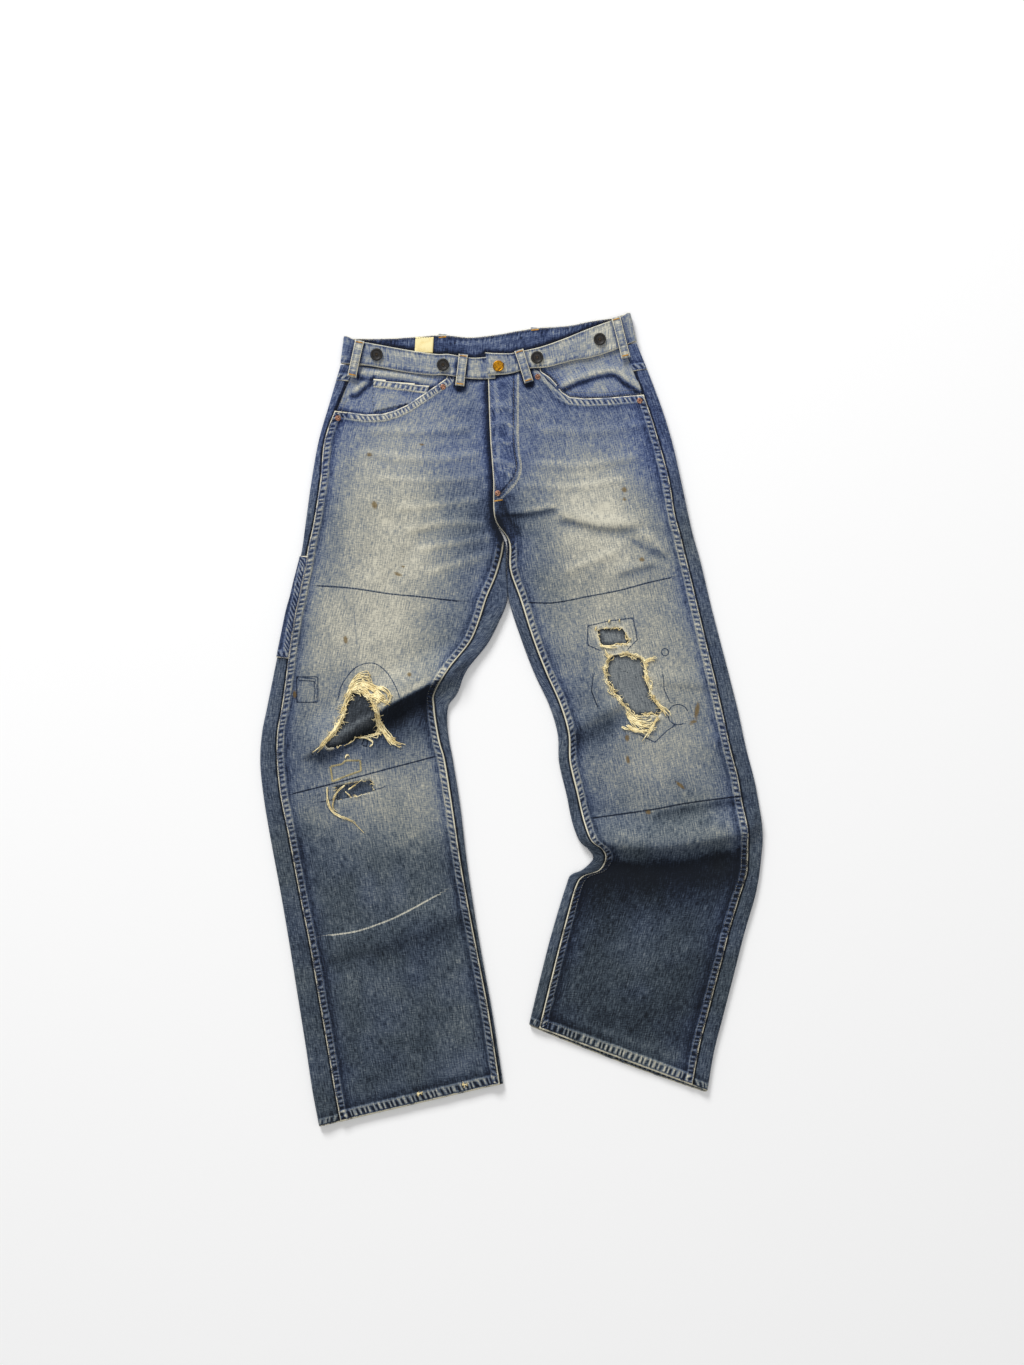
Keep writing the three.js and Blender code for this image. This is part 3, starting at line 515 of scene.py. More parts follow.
def wear_fields(side, x, y):
    """Fade of the visible face of a leg at each place, and the shade painted on it below crests and in
    creases.
    """
    shin = -185 if side == "left" else -165
    low = 0.27 if side == "left" else 0.375
    fade = lerp(low, 0.50, smooth(shin - 30, shin + 38, y)) + 0.02 * smooth(250, 350, y)
    for cx, cy, rx, ry, turn, amount in WEAR[side]:
        u, w = turned(x, y, cx, cy, turn)
        fade = fade + amount * np.exp(-0.5 * ((u / rx) ** 2 + (w / ry) ** 2) ** 1.3)
    shade = np.zeros(np.shape(x))
    for points, half, amount in RUBBED_AND_HIGHLIGHTED:
        line = curve_through(points)
        near = near_line(x, y, line, 3 * half)
        d, _ = to_line(x[near], y[near], line)
        fade[near] += amount * bell(d, half)
    # painted shade: darkest just below each crest line, fading further below it
    for points, above, below, amount in PAINTED_SHADE_LINES:
        line = curve_through(points)
        near = near_line(x, y, line, 2.5 * below)
        d, turn = to_line(x[near], y[near], line)
        soft = amount * np.exp(-(d / np.where(turn > 0, above, below)) ** 2)
        shade[near] = np.maximum(shade[near], soft)
    fade = fade + 0.05 * noise(x, y, 60, 11) + 0.035 * noise(x, y, 17, 12)
    return np.clip(fade, 0, 1), shade


def dust_field(x, y):
    """How far the blue has gone grey: hardly at the hips, nearly all on the shins."""
    return np.clip(0.15 + 0.60 * smooth(380, 270, y) + 0.18 * smooth(-60, -190, y)
                   + 0.14 * noise(x, y, 60, 19) + 0.08 * noise(x, y, 22, 20), 0, 1)


# ---- mesh building
PIECES = []
CUTS = {}         # each cloth piece's cut: width, length (m) and area (square m)
RESTS_ON = {"waistband": ["yoke_right", "yoke_left"], "watch_pocket": ["pocket_facing_right"],
            "tool_pocket": ["back_right"], "size_label": ["waistband"]}
for side in ("right", "left"):
    RESTS_ON.update({
        f"front_{side}": [f"knee_patch_{side}", f"back_{side}"], f"knee_patch_{side}": [f"back_{side}"],
        f"pocket_facing_{side}": [f"yoke_{side}"], f"back_{side}": ["floor"], f"yoke_{side}": ["floor"],
        f"back_pocket_{side}": ["floor"], f"belt_loop_back_{side}": ["floor"],
        f"belt_loop_side_{side}": ["waistband"], f"belt_loop_front_{side}": ["waistband"]})


def finish_piece(piece, slot, *nodes):
    """Makes a piece ride and stand for its nodes, and looks up its cut if it is cloth."""
    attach(piece, "root")
    if nodes:
        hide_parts(*nodes)
    if piece.name in CUTS:
        width, length, area = CUTS[piece.name]
        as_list(RESTS_ON[nodes[0]])
    PIECES.append(piece)
    return piece


def mesh_object(name, vertices, faces, smooth_faces=True):
    """A piece from points in millimetres and faces."""
    mesh = bpy.data.meshes.new(name)
    mesh.from_pydata((np.asarray(vertices) * MM).tolist(), [], [list(face) for face in faces])
    mesh.validate()
    if smooth_faces:
        mesh.shade_smooth()
    piece = bpy.data.objects.new(name, mesh)
    bpy.context.scene.collection.objects.link(piece)
    return piece


def put_field(mesh, name, values, used):
    """Stores a field of numbers or of vectors on the points that are used."""
    values = np.asarray(values, float)
    if values.ndim == 3:
        layer = mesh.attributes.new(name, "FLOAT_VECTOR", "POINT")
        layer.data.foreach_set("vector", values.reshape(-1, 3)[used].ravel())
    else:
        layer = mesh.attributes.new(name, "FLOAT", "POINT")
        layer.data.foreach_set("value", values.ravel()[used])


def put_weave(mesh, weave):
    """Stores the flat weave coordinates of each vertex as the mesh's UV map."""
    uv = mesh.uv_layers.new(name="weave")
    loops = np.empty(len(mesh.loops), np.int32)
    mesh.loops.foreach_get("vertex_index", loops)
    uv.data.foreach_set("uv", (weave[loops] * MM).ravel())


def cloth_fields(like, **given):
    """The fields that the denim reads, each of them zero where it isn't given."""
    fields = {key: np.zeros(like.shape) for key in ("fade", "shade", "core", "stain", "dust")}
    fields.update({key: np.zeros((*like.shape, 3)) for key in ("seam", "hem")})
    return {**fields, **given}


def cloth(node, slot, points, weave, fields, drop=None, flip=False, material=None, thickness=CLOTH):
    """A node's shell of cloth from a grid of mid-surface points, of denim unless told.

    weave is the grid of (across, along) in millimetres on the flat cloth, fields
    the attributes of its points, and drop marks the quads that are left out.
    """
    name = f"{node}_cloth"
    rows, cols = points.shape[:2]
    index = np.arange(rows * cols).reshape(rows, cols)
    quads = np.stack([index[:-1, :-1], index[1:, :-1], index[1:, 1:], index[:-1, 1:]], -1)
    keep = ~np.isnan(points[..., 0])
    whole = keep[:-1, :-1] & keep[1:, :-1] & keep[1:, 1:] & keep[:-1, 1:]
    if drop is not None:
        whole &= ~drop
    quads = quads[whole]
    if flip:
        quads = quads[:, ::-1]
    used = np.unique(quads)
    new_number = np.full(rows * cols, -1)
    new_number[used] = np.arange(len(used))
    piece = mesh_object(name, points.reshape(-1, 3)[used], new_number[quads])
    mesh = piece.data
    flat = weave.reshape(-1, 2)[used]
    CUTS[name] = (*np.ptp(flat, axis=0) * MM, sum(face.area for face in mesh.polygons))
    put_weave(mesh, flat)
    for key, values in fields.items():
        put_field(mesh, key, values, used)
    mesh.materials.append(material or DENIM)
    solid = piece.modifiers.new("cloth", "SOLIDIFY")
    solid.thickness = thickness * MM
    solid.offset = 0.0
    solid.use_even_offset = False
    return finish_piece(piece, slot, node)


def quads_inside(points, outline):
    """Which quads of a grid have their middle inside an outline."""
    centre = (points[:-1, :-1] + points[1:, :-1] + points[1:, 1:] + points[:-1, 1:]) / 4
    return inside(centre[..., 0], centre[..., 1], outline)


def snap_rim(points, gone, outline, reach=np.inf):
    """Moves the points between quads that go and quads that stay onto the outline."""
    beside_gone = np.zeros(points.shape[:2], bool)
    beside_kept = np.zeros(points.shape[:2], bool)
    for di in (0, 1):
        for dj in (0, 1):
            view = (slice(di, di + gone.shape[0]), slice(dj, dj + gone.shape[1]))
            beside_gone[view] |= gone
            beside_kept[view] |= ~gone
    qx, qy, d, _ = nearest(points[..., 0], points[..., 1], [*outline, outline[0]])
    rim = beside_gone & beside_kept & (d < reach)
    points[..., 0] = np.where(rim, qx, points[..., 0])
    points[..., 1] = np.where(rim, qy, points[..., 1])


def cut_out(points, outlines):
    """Marks the quads inside outlines, and moves the rim onto the outline."""
    cuts = [quads_inside(points, outline) for outline in outlines]
    for gone, outline in zip(cuts, outlines):
        snap_rim(points, gone, outline, RIM_REACH)
    return np.any(cuts, axis=0)


# ---- materials
def linear(hex_colour):
    """sRGB hex to linear RGBA."""
    value = int(hex_colour.lstrip("#"), 16)
    parts = [(value >> shift & 255) / 255 for shift in (16, 8, 0)]
    return [c / 12.92 if c <= 0.04045 else ((c + 0.055) / 1.055) ** 2.4 for c in parts] + [1.0]


def add_node(tree, kind, inputs=(), out=0, **settings):
    """Adds a shader node with its settings, and links or sets its inputs.

    inputs go in order, or by name or number in a dictionary. One output comes back.
    """
    node = tree.nodes.new("ShaderNode" + kind)
    for key, value in settings.items():
        setattr(node, key, value)
    for key, value in inputs.items() if isinstance(inputs, dict) else enumerate(inputs):
        if isinstance(value, bpy.types.NodeSocket):
            tree.links.new(value, node.inputs[key])
        else:
            node.inputs[key].default_value = value
    return node.outputs[out] if len(node.outputs) else None


EASED = {"interpolation_type": "SMOOTHSTEP"}        # settings of a soft Map Range
COLOURS = {"out": 2, "data_type": "RGBA"}           # settings of a Mix of colours


def set_stops(ramp, stops):
    """Gives a colour ramp its places and linear colours."""
    elements = ramp.node.color_ramp.elements
    while len(elements) < len(stops):
        elements.new(0.5)
    for element, (place, colour) in zip(elements, stops):
        element.position = place
        element.color = colour


def new_material(name, **constants):
    """An empty material, its node adder and its shader, with the constants set."""
    material = bpy.data.materials.new(name)
    material.use_nodes = True
    tree = material.node_tree
    tree.nodes.clear()
    add = partial(add_node, tree)
    surface = add("BsdfPrincipled", {key.replace("_", " "): value for key, value in constants.items()})
    add("OutputMaterial", [surface])

    def join(value, socket):
        tree.links.new(value, surface.node.inputs[socket])

    return material, add, join


INDIGO = [(0.0, "#0f1628"), (0.18, "#1e2947"), (0.34, "#344266"), (0.50, "#596788"),
          (0.64, "#7b8493"), (0.78, "#979a97"), (0.90, "#b1b0a6"), (1.0, "#cbc8b8")]
DUSTY = [(0.0, "#0d1117"), (0.18, "#1e252e"), (0.34, "#37414b"), (0.50, "#545d65"),
         (0.64, "#747a7b"), (0.78, "#94948b"), (0.90, "#aeab9c"), (1.0, "#c8c4b2")]
PATCH_INDIGO = [(0.0, "#0e1114"), (0.3, "#2a2f35"), (0.5, "#454a50"), (0.7, "#6a7074"),
                (1.0, "#8f9290")]
# Threads and blotches: repeats in each millimetre across and along, detail, weight.
# Real threads are 0.45 mm apart, too fine to show, so these are about three times that.
WEAVE = {
    "warp": (1 / 1.25, 0.09, 1.0, 0.56), "weft": (0.14, 1 / 1.35, 1.0, 0.42),
    "slub": (0.34, 0.011, 2.0, 0.15), "speck": (1.1, 1.0, 1.0, 0.34), "cloud": (0.035, 0.022, 3.0, 0.17),
}
RIB = 3.7             # mm between the ribs that the eye picks out along the warp
# Across a felled or folded edge: mm from the fold, puckers, change of fade, white core
# The drop in fade just outside the fold is a painted shadow of the raised edge; the dip beyond the band's
# step, from 11.8 to 14 mm, is partly painted shade below that step and partly cloth that kept more dye.
EDGE_LOOK = [
    (-3.4, 0, 0, 0), (-1.4, 0, -0.42, 0), (-0.3, 0, -0.42, 0), (0.0, 0, 0, 1), (0.9, 0, 0, 1),
    (2.2, 0.2, -0.06, 0), (3.4, 1, 0.02, 0), (7.6, 1, 0.02, 0), (9.0, 0.3, 0.19, 0), (10.2, 0.1, 0.12, 0),
    (11.8, 0, -0.15, 0), (14.0, 0, -0.12, 0), (20.0, 0, 0, 0),
]
EDGE_FROM, EDGE_TO = -4.0, 24.0


def edge_band(add, field, raised, seed):
    """The look of a felled or folded edge: how much it fades the cloth or darkens it with painted shadow
    beside the raised edge, how far its white core shows, and its height in millimetres."""
    d, run, amount = add("SeparateXYZ", [add("Attribute", out=1, attribute_name=field)]).node.outputs
    wobble = add("TexNoise", {"W": add("Math", [run, 0.055, seed], operation="MULTIPLY_ADD"),
                              "Scale": 1.0, "Detail": 2.0}, noise_dimensions="1D")
    phase = add("Math", [run, 2 * math.pi / PUCKER], operation="MULTIPLY")
    phase = add("Math", [wobble, 9.0, phase], operation="MULTIPLY_ADD")
    phase = add("Math", [d, 0.35, phase], operation="MULTIPLY_ADD")
    look = add("ValToRGB", [add("MapRange", [d, EDGE_FROM, EDGE_TO])])
    set_stops(look, [((at - EDGE_FROM) / (EDGE_TO - EDGE_FROM), (bars, 0.5 + shift, core, 1))
                     for at, bars, shift, core in EDGE_LOOK])
    bars, shift, core = add("SeparateColor", [look]).node.outputs
    bars = add("Math", [add("Math", [phase], operation="SINE"), bars], operation="MULTIPLY")
    uneven = add("MapRange", [wobble, 0.30, 0.62, 0.40, 0.74], **EASED)
    shift = add("Math", [shift, 0.5], operation="SUBTRACT")
    fade = add("Math", [bars, 0.28, shift], operation="MULTIPLY_ADD")
    step = add("MapRange", [d, 9.6, 11.6, raised, 0.0], **EASED)
    height = add("Math", [bars, 0.30, step], operation="MULTIPLY_ADD")
    core = add("Math", [core, uneven], operation="MULTIPLY")
    return [add("Math", [part, amount], operation="MULTIPLY") for part in (fade, core, height)]


def denim(name, blue, grey, banded=True):
    """Washed indigo twill: blue warp over a pale weft, worn white on its high points.

    The weave is a fine bump with streaks along the warp; fade and core are fields of the cloth, shade is
    painted shade in creases, below folds and under edges, and seam and hem carry the distance and run of its
    edges.
    """
    material, add, join = new_material(
        name, Roughness=0.92, Specular_IOR_Level=0.18, Sheen_Weight=0.12, Sheen_Roughness=0.5,
        Sheen_Tint=linear("#9fb0cc"))
    weave = add("UVMap", uv_map="weave")
    threads = {}
    grain = -0.5 * sum(weight for *_, weight in WEAVE.values())
    for thread, (across, along, detail, weight) in WEAVE.items():
        place = add("VectorMath", [weave, (across / MM, along / MM, 0)], operation="MULTIPLY")
        threads[thread] = add("TexNoise", {"Vector": place, "Scale": 1.0, "Detail": detail, "Roughness": 0.6},
                              noise_dimensions="2D")
        grain = add("Math", [threads[thread], weight, grain], operation="MULTIPLY_ADD")
    rib = add("VectorMath", [weave, (2 * math.pi / RIB / MM, 0, 0)], out=1, operation="DOT_PRODUCT")
    grain = add("Math", [add("Math", [rib], operation="SINE"), 0.022, grain], operation="MULTIPLY_ADD")
    speck = add("Math", [threads["speck"], 0.5], operation="SUBTRACT")

    fade, shade, core, dust, stain = [
        add("Attribute", out=2, attribute_name=field) for field in ("fade", "shade", "core", "dust", "stain")]
    fade = add("Math", [fade, grain], operation="ADD")
    # painted shade: the shade field lowers the fade towards dark indigo
    fade = add("Math", [shade, -0.6, fade], operation="MULTIPLY_ADD")
    line, half, amount = add("SeparateXYZ", [add("Attribute", out=1, attribute_name="line")]).node.outputs
    beside = add("Math", [add("Math", [line], operation="ABSOLUTE"), half], operation="DIVIDE")
    drawn = add("MapRange", [beside, 0.7, 1.9, 1.0, 0.0], **EASED)
    drawn = add("Math", [drawn, amount], operation="MULTIPLY")
    broken = add("MapRange", [threads["speck"], 0.3, 0.6, 0.5, 1.1], **EASED)
    fade = add("Math", [drawn, broken, fade], operation="MULTIPLY_ADD")
    height = add("Math", [grain, 0.22], operation="MULTIPLY")
    if banded:
        for field, raised, seed in (("seam", 1.0, 3.0), ("hem", 0.7, 17.0)):
            shift, shown, lift = edge_band(add, field, raised, seed)
            fade = add("Math", [fade, shift], operation="ADD")
            core = add("Math", [core, shown], operation="ADD")
            height = add("Math", [height, lift], operation="ADD")

    shades = []
    for stops in (blue, grey):
        shades.append(add("ValToRGB", [fade]))
        set_stops(shades[-1], [(place, linear(colour)) for place, colour in stops])
    colour = add("Mix", {0: dust, 6: shades[0], 7: shades[1]}, **COLOURS)
    bare = add("MapRange", [add("Math", [speck, 1.1, core], operation="MULTIPLY_ADD"), 0.35, 0.75],
               **EASED)
    colour = add("Mix", {0: bare, 6: colour, 7: linear("#d8d2bb")}, **COLOURS)
    # more painted shade: a mix towards near black where the shade field is high
    dark = add("Math", [shade, 0.5], operation="MULTIPLY")
    colour = add("Mix", {0: dark, 6: colour, 7: linear("#0e131a")}, **COLOURS)
    blot = add("MapRange", [add("Math", [speck, 0.8, stain], operation="MULTIPLY_ADD"), 0.42, 0.72, 0.0,
                            0.80], **EASED)
    colour = add("Mix", {0: blot, 6: colour, 7: linear("#6a5426")}, **COLOURS)
    join(colour, "Base Color")
    join(add("Bump", {"Strength": 0.9, "Distance": MM, "Height": height}), "Normal")
    return material


def spun_thread(name, hex_colour, dark_hex, pitch=0.9):
    """Cotton thread: matt, a little dirty, its twist pitch millimetres apart."""
    material, add, join = new_material(name, Roughness=0.85, Specular_IOR_Level=0.25)
    place = add("TexCoord", out=3)
    twist = add("TexNoise", {"Vector": place, "Scale": 1000 / pitch, "Detail": 1.0})
    dirt = add("TexNoise", {"Vector": place, "Scale": 70.0, "Detail": 2.0})
    mixed = add("Math", [twist, 0.5], operation="MULTIPLY")
    mixed = add("Math", [dirt, 0.6, mixed], operation="MULTIPLY_ADD")
    clean = add("MapRange", [mixed, 0.35, 0.72], **EASED)
    colour = add("Mix", {0: clean, 6: linear(dark_hex), 7: linear(hex_colour)}, **COLOURS)
    join(colour, "Base Color")
    join(add("Bump", {"Strength": 0.4, "Distance": 0.0002, "Height": twist}), "Normal")
    return material


def label_cloth():
    """Woven polyester label: cream, fine and smooth, a little glossy."""
    material, add, join = new_material("woven_cream_label", Roughness=0.7)
    place = add("UVMap", uv_map="weave")
    grain = add("TexNoise", {"Vector": place, "Scale": 900.0, "Detail": 2.0}, noise_dimensions="2D")
    age = add("TexNoise", {"Vector": place, "Scale": 90.0, "Detail": 2.0}, noise_dimensions="2D")
    aged = add("MapRange", [age, 0.35, 0.7], **EASED)
    colour = add("Mix", {0: aged, 6: linear("#efe0a4"), 7: linear("#e3cd88")}, **COLOURS)
    bright = add("MapRange", [grain, 0.3, 0.8, 0.0, 0.35], **EASED)
    join(add("Mix", {0: bright, 6: colour, 7: linear("#fbf2cc")}, **COLOURS), "Base Color")
    join(add("Bump", {"Strength": 0.5, "Distance": 0.0002, "Height": grain}), "Normal")
    return material


def resin():
    """Moulded phenolic resin: near black brown, satin, dull with handling."""
    material, add, join = new_material("moulded_dark_resin", IOR=1.45)
    place = add("TexCoord", out=3)
    swirl = add("TexNoise", {"Vector": place, "Scale": 420.0, "Detail": 4.0})
    dust = add("TexNoise", {"Vector": place, "Scale": 1500.0, "Detail": 2.0})
    mixed = add("MapRange", [swirl, 0.35, 0.7], **EASED)
    colour = add("Mix", {0: mixed, 6: linear("#0b0a09"), 7: linear("#1d1815")}, **COLOURS)
    dusty = add("MapRange", [dust, 0.58, 0.8, 0.0, 0.22], **EASED)
    join(add("Mix", {0: dusty, 6: colour, 7: linear("#5a5044")}, **COLOURS), "Base Color")
    join(add("MapRange", [swirl, 0.3, 0.7, 0.36, 0.5], **EASED), "Roughness")
    join(add("Bump", {"Strength": 0.25, "Distance": 0.0001, "Height": dust}), "Normal")
    return material


def worn_metal(name, bright, tarnish, smoothest, roughest, scale):
    """Stamped metal, rubbed bright on its high points, with scale patches of tarnish to a metre."""
    material, add, join = new_material(name, Metallic=0.85)
    place = add("TexCoord", out=3)
    patina = add("TexNoise", {"Vector": place, "Scale": scale, "Detail": 5.0})
    pits = add("TexNoise", {"Vector": place, "Scale": scale * 5, "Detail": 2.0})
    worn = add("MapRange", [patina, 0.36, 0.64], **EASED)
    join(add("Mix", {0: worn, 6: linear(tarnish), 7: linear(bright)}, **COLOURS), "Base Color")
    join(add("MapRange", [worn, 0.0, 1.0, roughest, smoothest]), "Roughness")
    join(add("Bump", {"Strength": 0.35, "Distance": 0.0001, "Height": pits}), "Normal")
    return material


DENIM = denim("washed_indigo_twill", INDIGO, DUSTY)
PATCH_DENIM = denim("dark_patch_twill", PATCH_INDIGO, PATCH_INDIGO, banded=False)
TAN_THREAD = spun_thread("worn_tan_thread", "#8f8c7c", "#3f4552")
GOLD_THREAD = spun_thread("gold_bar_tack_thread", "#e0a640", "#96702c")
CREAM_THREAD = spun_thread("cream_darning_thread", "#d8c78c", "#8f8258")
BLUE_THREAD = spun_thread("dark_blue_darning_thread", "#1d2436", "#0d111b")
FRAY_THREAD = spun_thread("raw_cotton_fray", "#fff2c4", "#cdb67c", 1.6)
LABEL = label_cloth()
BUTTON_RESIN = resin()
AGED_BRASS = worn_metal("aged_stamped_brass", "#cb8f1c", "#7c5410", 0.34, 0.6, 260)
TACK_METAL = worn_metal("dark_wire_tack", "#4f453a", "#1f1a16", 0.4, 0.65, 700)
COPPER = worn_metal("aged_copper_rivet", "#b98a72", "#5e4236", 0.36, 0.62, 520)


# ---- front panels
def side_columns(start, end, cell, fine=1.7, band=15.0):
    """Distances from one edge to the other: fine near both, wider between."""
    near = np.arange(0, band, fine)
    far = np.arange(0, band * 0.8, fine)
    count = max(8, int(round(np.median(end) / cell)))
    between = np.linspace(0, 1, count)[1:-1]
    left = start[:, None] + near[None, :]
    right = end[:, None] - far[None, ::-1]
    middle = lerp(left[:, -1:], right[:, :1], between[None, :])
    return np.hstack([left, middle, right])


def beside_band(x, y):
    """Shade on the cloth close below the waistband and beside the belt loops."""
    return np.maximum(0.75 * bell(to_front_band(x, y, 0), 2.6), beside_loops(x, y))


def to_front_band(x, y, edge):
    """Distance to the low (0) or high (1) edge of the band in front."""
    return np.minimum(*[to_line(x, y, [pair[edge] for pair in pairs])[0]
                        for pairs in (FRONT_RIGHT_BAND, FRONT_LEFT_BAND)])


def beside_loops(x, y):
    """Shade on the cloth close beside the belt loops in front."""
    shade = np.zeros(np.shape(x))
    for (tx, ty), (bx, by), z, _ in BELT_LOOPS.values():
        if z > BAND:
            d, _ = to_line(x, y, [(tx, ty), (bx, by)])
            shade = np.maximum(shade, 0.7 * bell(np.maximum(d - LOOP_WIDTH / 2, 0), 2.4))
    return shade


def front_panel(side):
    """A front leg panel, with its felled seams, hem, pocket mouth and torn holes."""
    rows = Rows(side, leg_rows(side, CELL, -0.12))
    fade_out = 1 - smooth(4, 4.9, rows.v)
    lap = FLY_LAP * (1 - smooth(2.9, 4, rows.v)) if side == "right" else 0 * rows.v
    d = side_columns(rows.outseam, rows.length + lap, CELL)
    points = np.stack([rows.upper(d[:, j]) for j in range(d.shape[1])], axis=1)
    from_fly = rows.length[:, None] - d
    lapped = fade_out[:, None] * smooth(56, 26, from_fly)
    points[..., 2] += lapped * (FLY_STEP if side == "left" else -FLY_STEP)
    points[..., 2] -= 1.1 * smooth(0.32, 0.05, rows.v)[:, None]

    out_d = d - rows.outseam[:, None]
    in_d = (rows.length + lap)[:, None] - d
    along = run_along(points)
    # the felled seam is a low step, four layers thick
    legged = smooth(CROTCH - 0.2, CROTCH + 0.4, rows.v)[:, None]
    felled = 0.8 * (1 - smooth(9.5, 12.5, out_d)) + 0.7 * (1 - smooth(9, 12, in_d)) * legged
    points[..., 2] += felled
    hem_run = run_along(points.transpose(1, 0, 2)).T
    to_hem = along[-1:, :] - along
    points[..., 2] += 0.5 * (1 - smooth(13, 16, to_hem))

    nearer_out = out_d <= in_d
    seam_d = np.where(nearer_out, out_d, in_d)
    amount = np.where(nearer_out, 1.0, np.broadcast_to(legged, d.shape))
    seam = np.stack([seam_d + 0.15, along + 400 * nearer_out, np.broadcast_to(amount, d.shape)], -1)
    hem = np.stack([to_hem * SEAM_DEPTH / HEM_DEPTH, hem_run, np.full_like(to_hem, 1.3)], -1)

    x, y = points[..., 0], points[..., 1]
    fade, shade = wear_fields(side, x, y)
    shade = np.maximum(shade, beside_band(x, y))
    edge_dark = 0.11 * (bell(out_d, 22) + 0.8 * bell(in_d, 20))
    fade = np.clip(fade - edge_dark, 0, 1)
    drop = cut_out(points, [MOUTHS[side], *HOLES[side]])
    core = np.zeros_like(fade)
    unlegged = 1 - np.broadcast_to(legged, fade.shape)
    if side == "right":
        # painted shadow on the right front close beside the raised edge of the fly
        beside_fly = in_d - lap[:, None]
        shade = np.maximum(shade, 0.75 * unlegged * bell(np.maximum(beside_fly - 1, 0), 6))
    else:
        fade = fade + unlegged * (0.10 * bell(in_d, 2.2) - 0.06 * smooth(44, 30, in_d))
        fade = fade + unlegged * smooth(40, 30, in_d) * 0.09 * noise(x, y, 11, 15)
        core = core + unlegged * bell(in_d, 1.5)
    # the white edge of the inseam, bold on the thighs and thin on the shins
    bold = legged * lerp(0.25, 0.95, smooth(-190, -90, y)) * (0.85 + 0.25 * noise(along, 0 * along, 16, 18))
    core = core + bold * bell(in_d, 2.2)
    for outline in HOLES[side]:
        gap = to_outline(x, y, outline)
        torn = 0.9 * bell(gap, 3.2)
        if side == "right":
            torn = torn * np.where((x > -244) & (x < -186) & (y < -14), 0.15, 1.0)
        core = np.maximum(core, torn)
        fade = np.clip(fade + 0.10 * bell(gap, 12), 0, 1)
    gap = to_outline(x, y, MOUTHS[side])
    mouth = np.stack([gap, x + y, np.ones_like(gap)], -1)
    use_mouth = (gap < EDGE_TO) & (y > 400)
    fields = cloth_fields(
        x, fade=fade, shade=shade, core=core, stain=stain_field(x, y), line=line_field(side, x, y),
        dust=np.clip(dust_field(x, y) - 0.35 * edge_dark / 0.11, 0, 1), seam=seam,
        hem=np.where(use_mouth[..., None], mouth, hem))
    cloth(f"front_{side}", "denim_front", points, np.stack([d, along], -1), fields, drop, side == "left")


# Brown spots and smears: x, y, reach across, reach along, turn in degrees
STAINS = [
    (-188, 296, 5, 7, 20), (-156, 201, 8, 3, -20), (-149, 211, 4, 2, 0), (-228, 111, 4, 7, 10),
    (-140, 63, 4, 4, 0), (-298, 36, 3, 7, 0), (-123, 379, 5, 2, 10), (-195, 365, 6, 3, 0),
    (155, 317, 5, 5, 0), (155, 304, 4, 3, 0), (179, 221, 5, 4, 0), (255, 14, 4, 15, -10),
    (250, -2, 9, 3, 30), (159, -24, 4, 6, 0), (160, -54, 3, 8, 10), (232, -89, 10, 3, -40),
    (188, -126, 5, 4, 0),
]


def stain_field(x, y):
    total = np.zeros(np.shape(x))
    for cx, cy, rx, ry, turn in STAINS:
        u, w = turned(x, y, cx, cy, turn)
        total = np.maximum(total, np.exp(-((u / rx) ** 2 + (w / ry) ** 2)))
    return total


# ---- back panels
ARC = [90, 66, 42, 21, 0, -21, -42, -66, -90]
OUTER_STEPS = 8
UNDER_STEPS = 22
INNER_STEPS = 6
TUCK = 0.9            # how far a back panel dips to pass under the front's edge
YOKE_ROWS = 20
# The hem of the left back hangs lower underneath: how far, which way, and from which
# column over how many
BACK_HEM_DROP = 5.5
HANG_WAY = (-0.36, -0.93)
HANG_FROM, HANG_OVER = 12, 28


def back_course():
    """Columns of a back panel: under the front's edge, round, beneath, and up to the inseam."""
    course = [("outer", t) for t in np.linspace(0, 1, OUTER_STEPS, endpoint=False)]
    course += [("outer turn", a) for a in ARC]
    course += [("under", t) for t in np.linspace(0, 1, UNDER_STEPS + 1)[1:-1]]
    course += [("inner turn", a) for a in ARC[::-1]]
    course += [("inner", t) for t in np.linspace(0, 1, INNER_STEPS + 1)[1:]]
    return course


COURSE = back_course()
FIRST_UNDER = OUTER_STEPS + len(ARC)
# how far across the underside each column lies, from 0 to 1
SHARE = np.clip((np.arange(len(COURSE)) - FIRST_UNDER + 1) / UNDER_STEPS, 0, 1)


def back_column(side, v, kind, t):
    """One column of a back panel at station numbers v."""
    rows = Rows(side, v)
    legged = rows.v >= CROTCH - 1e-6
    if kind == "outer":
        column = rows.upper(lerp(rows.outseam + 1.6, rows.reach(False), t))
        column[:, 2] -= TUCK * (1 - smooth(0, 0.35, t))
        return column
    if kind == "outer turn":
        return rows.round(False, t)
    if kind == "under":
        end = np.where(legged, rows.reach(True), 0.6)
        return rows.lower(lerp(rows.reach(False), rows.width - end, t))
    if kind == "inner turn":
        column = rows.round(True, t)
        if t == -90:
            return np.where(legged[:, None], column, rows.lower(rows.width - 0.6))
    else:
        top = rows.width - rows.reach(True)
        column = rows.upper(lerp(top, np.minimum(rows.length - 1.4, top - 0.6), t))
        column[:, 2] -= TUCK * smooth(0.65, 1.0, t)
    column[~legged] = np.nan
    return column


def back_grid(side, v):
    return np.stack([back_column(side, v[:, j], *COURSE[j]) for j in range(len(COURSE))], axis=1)


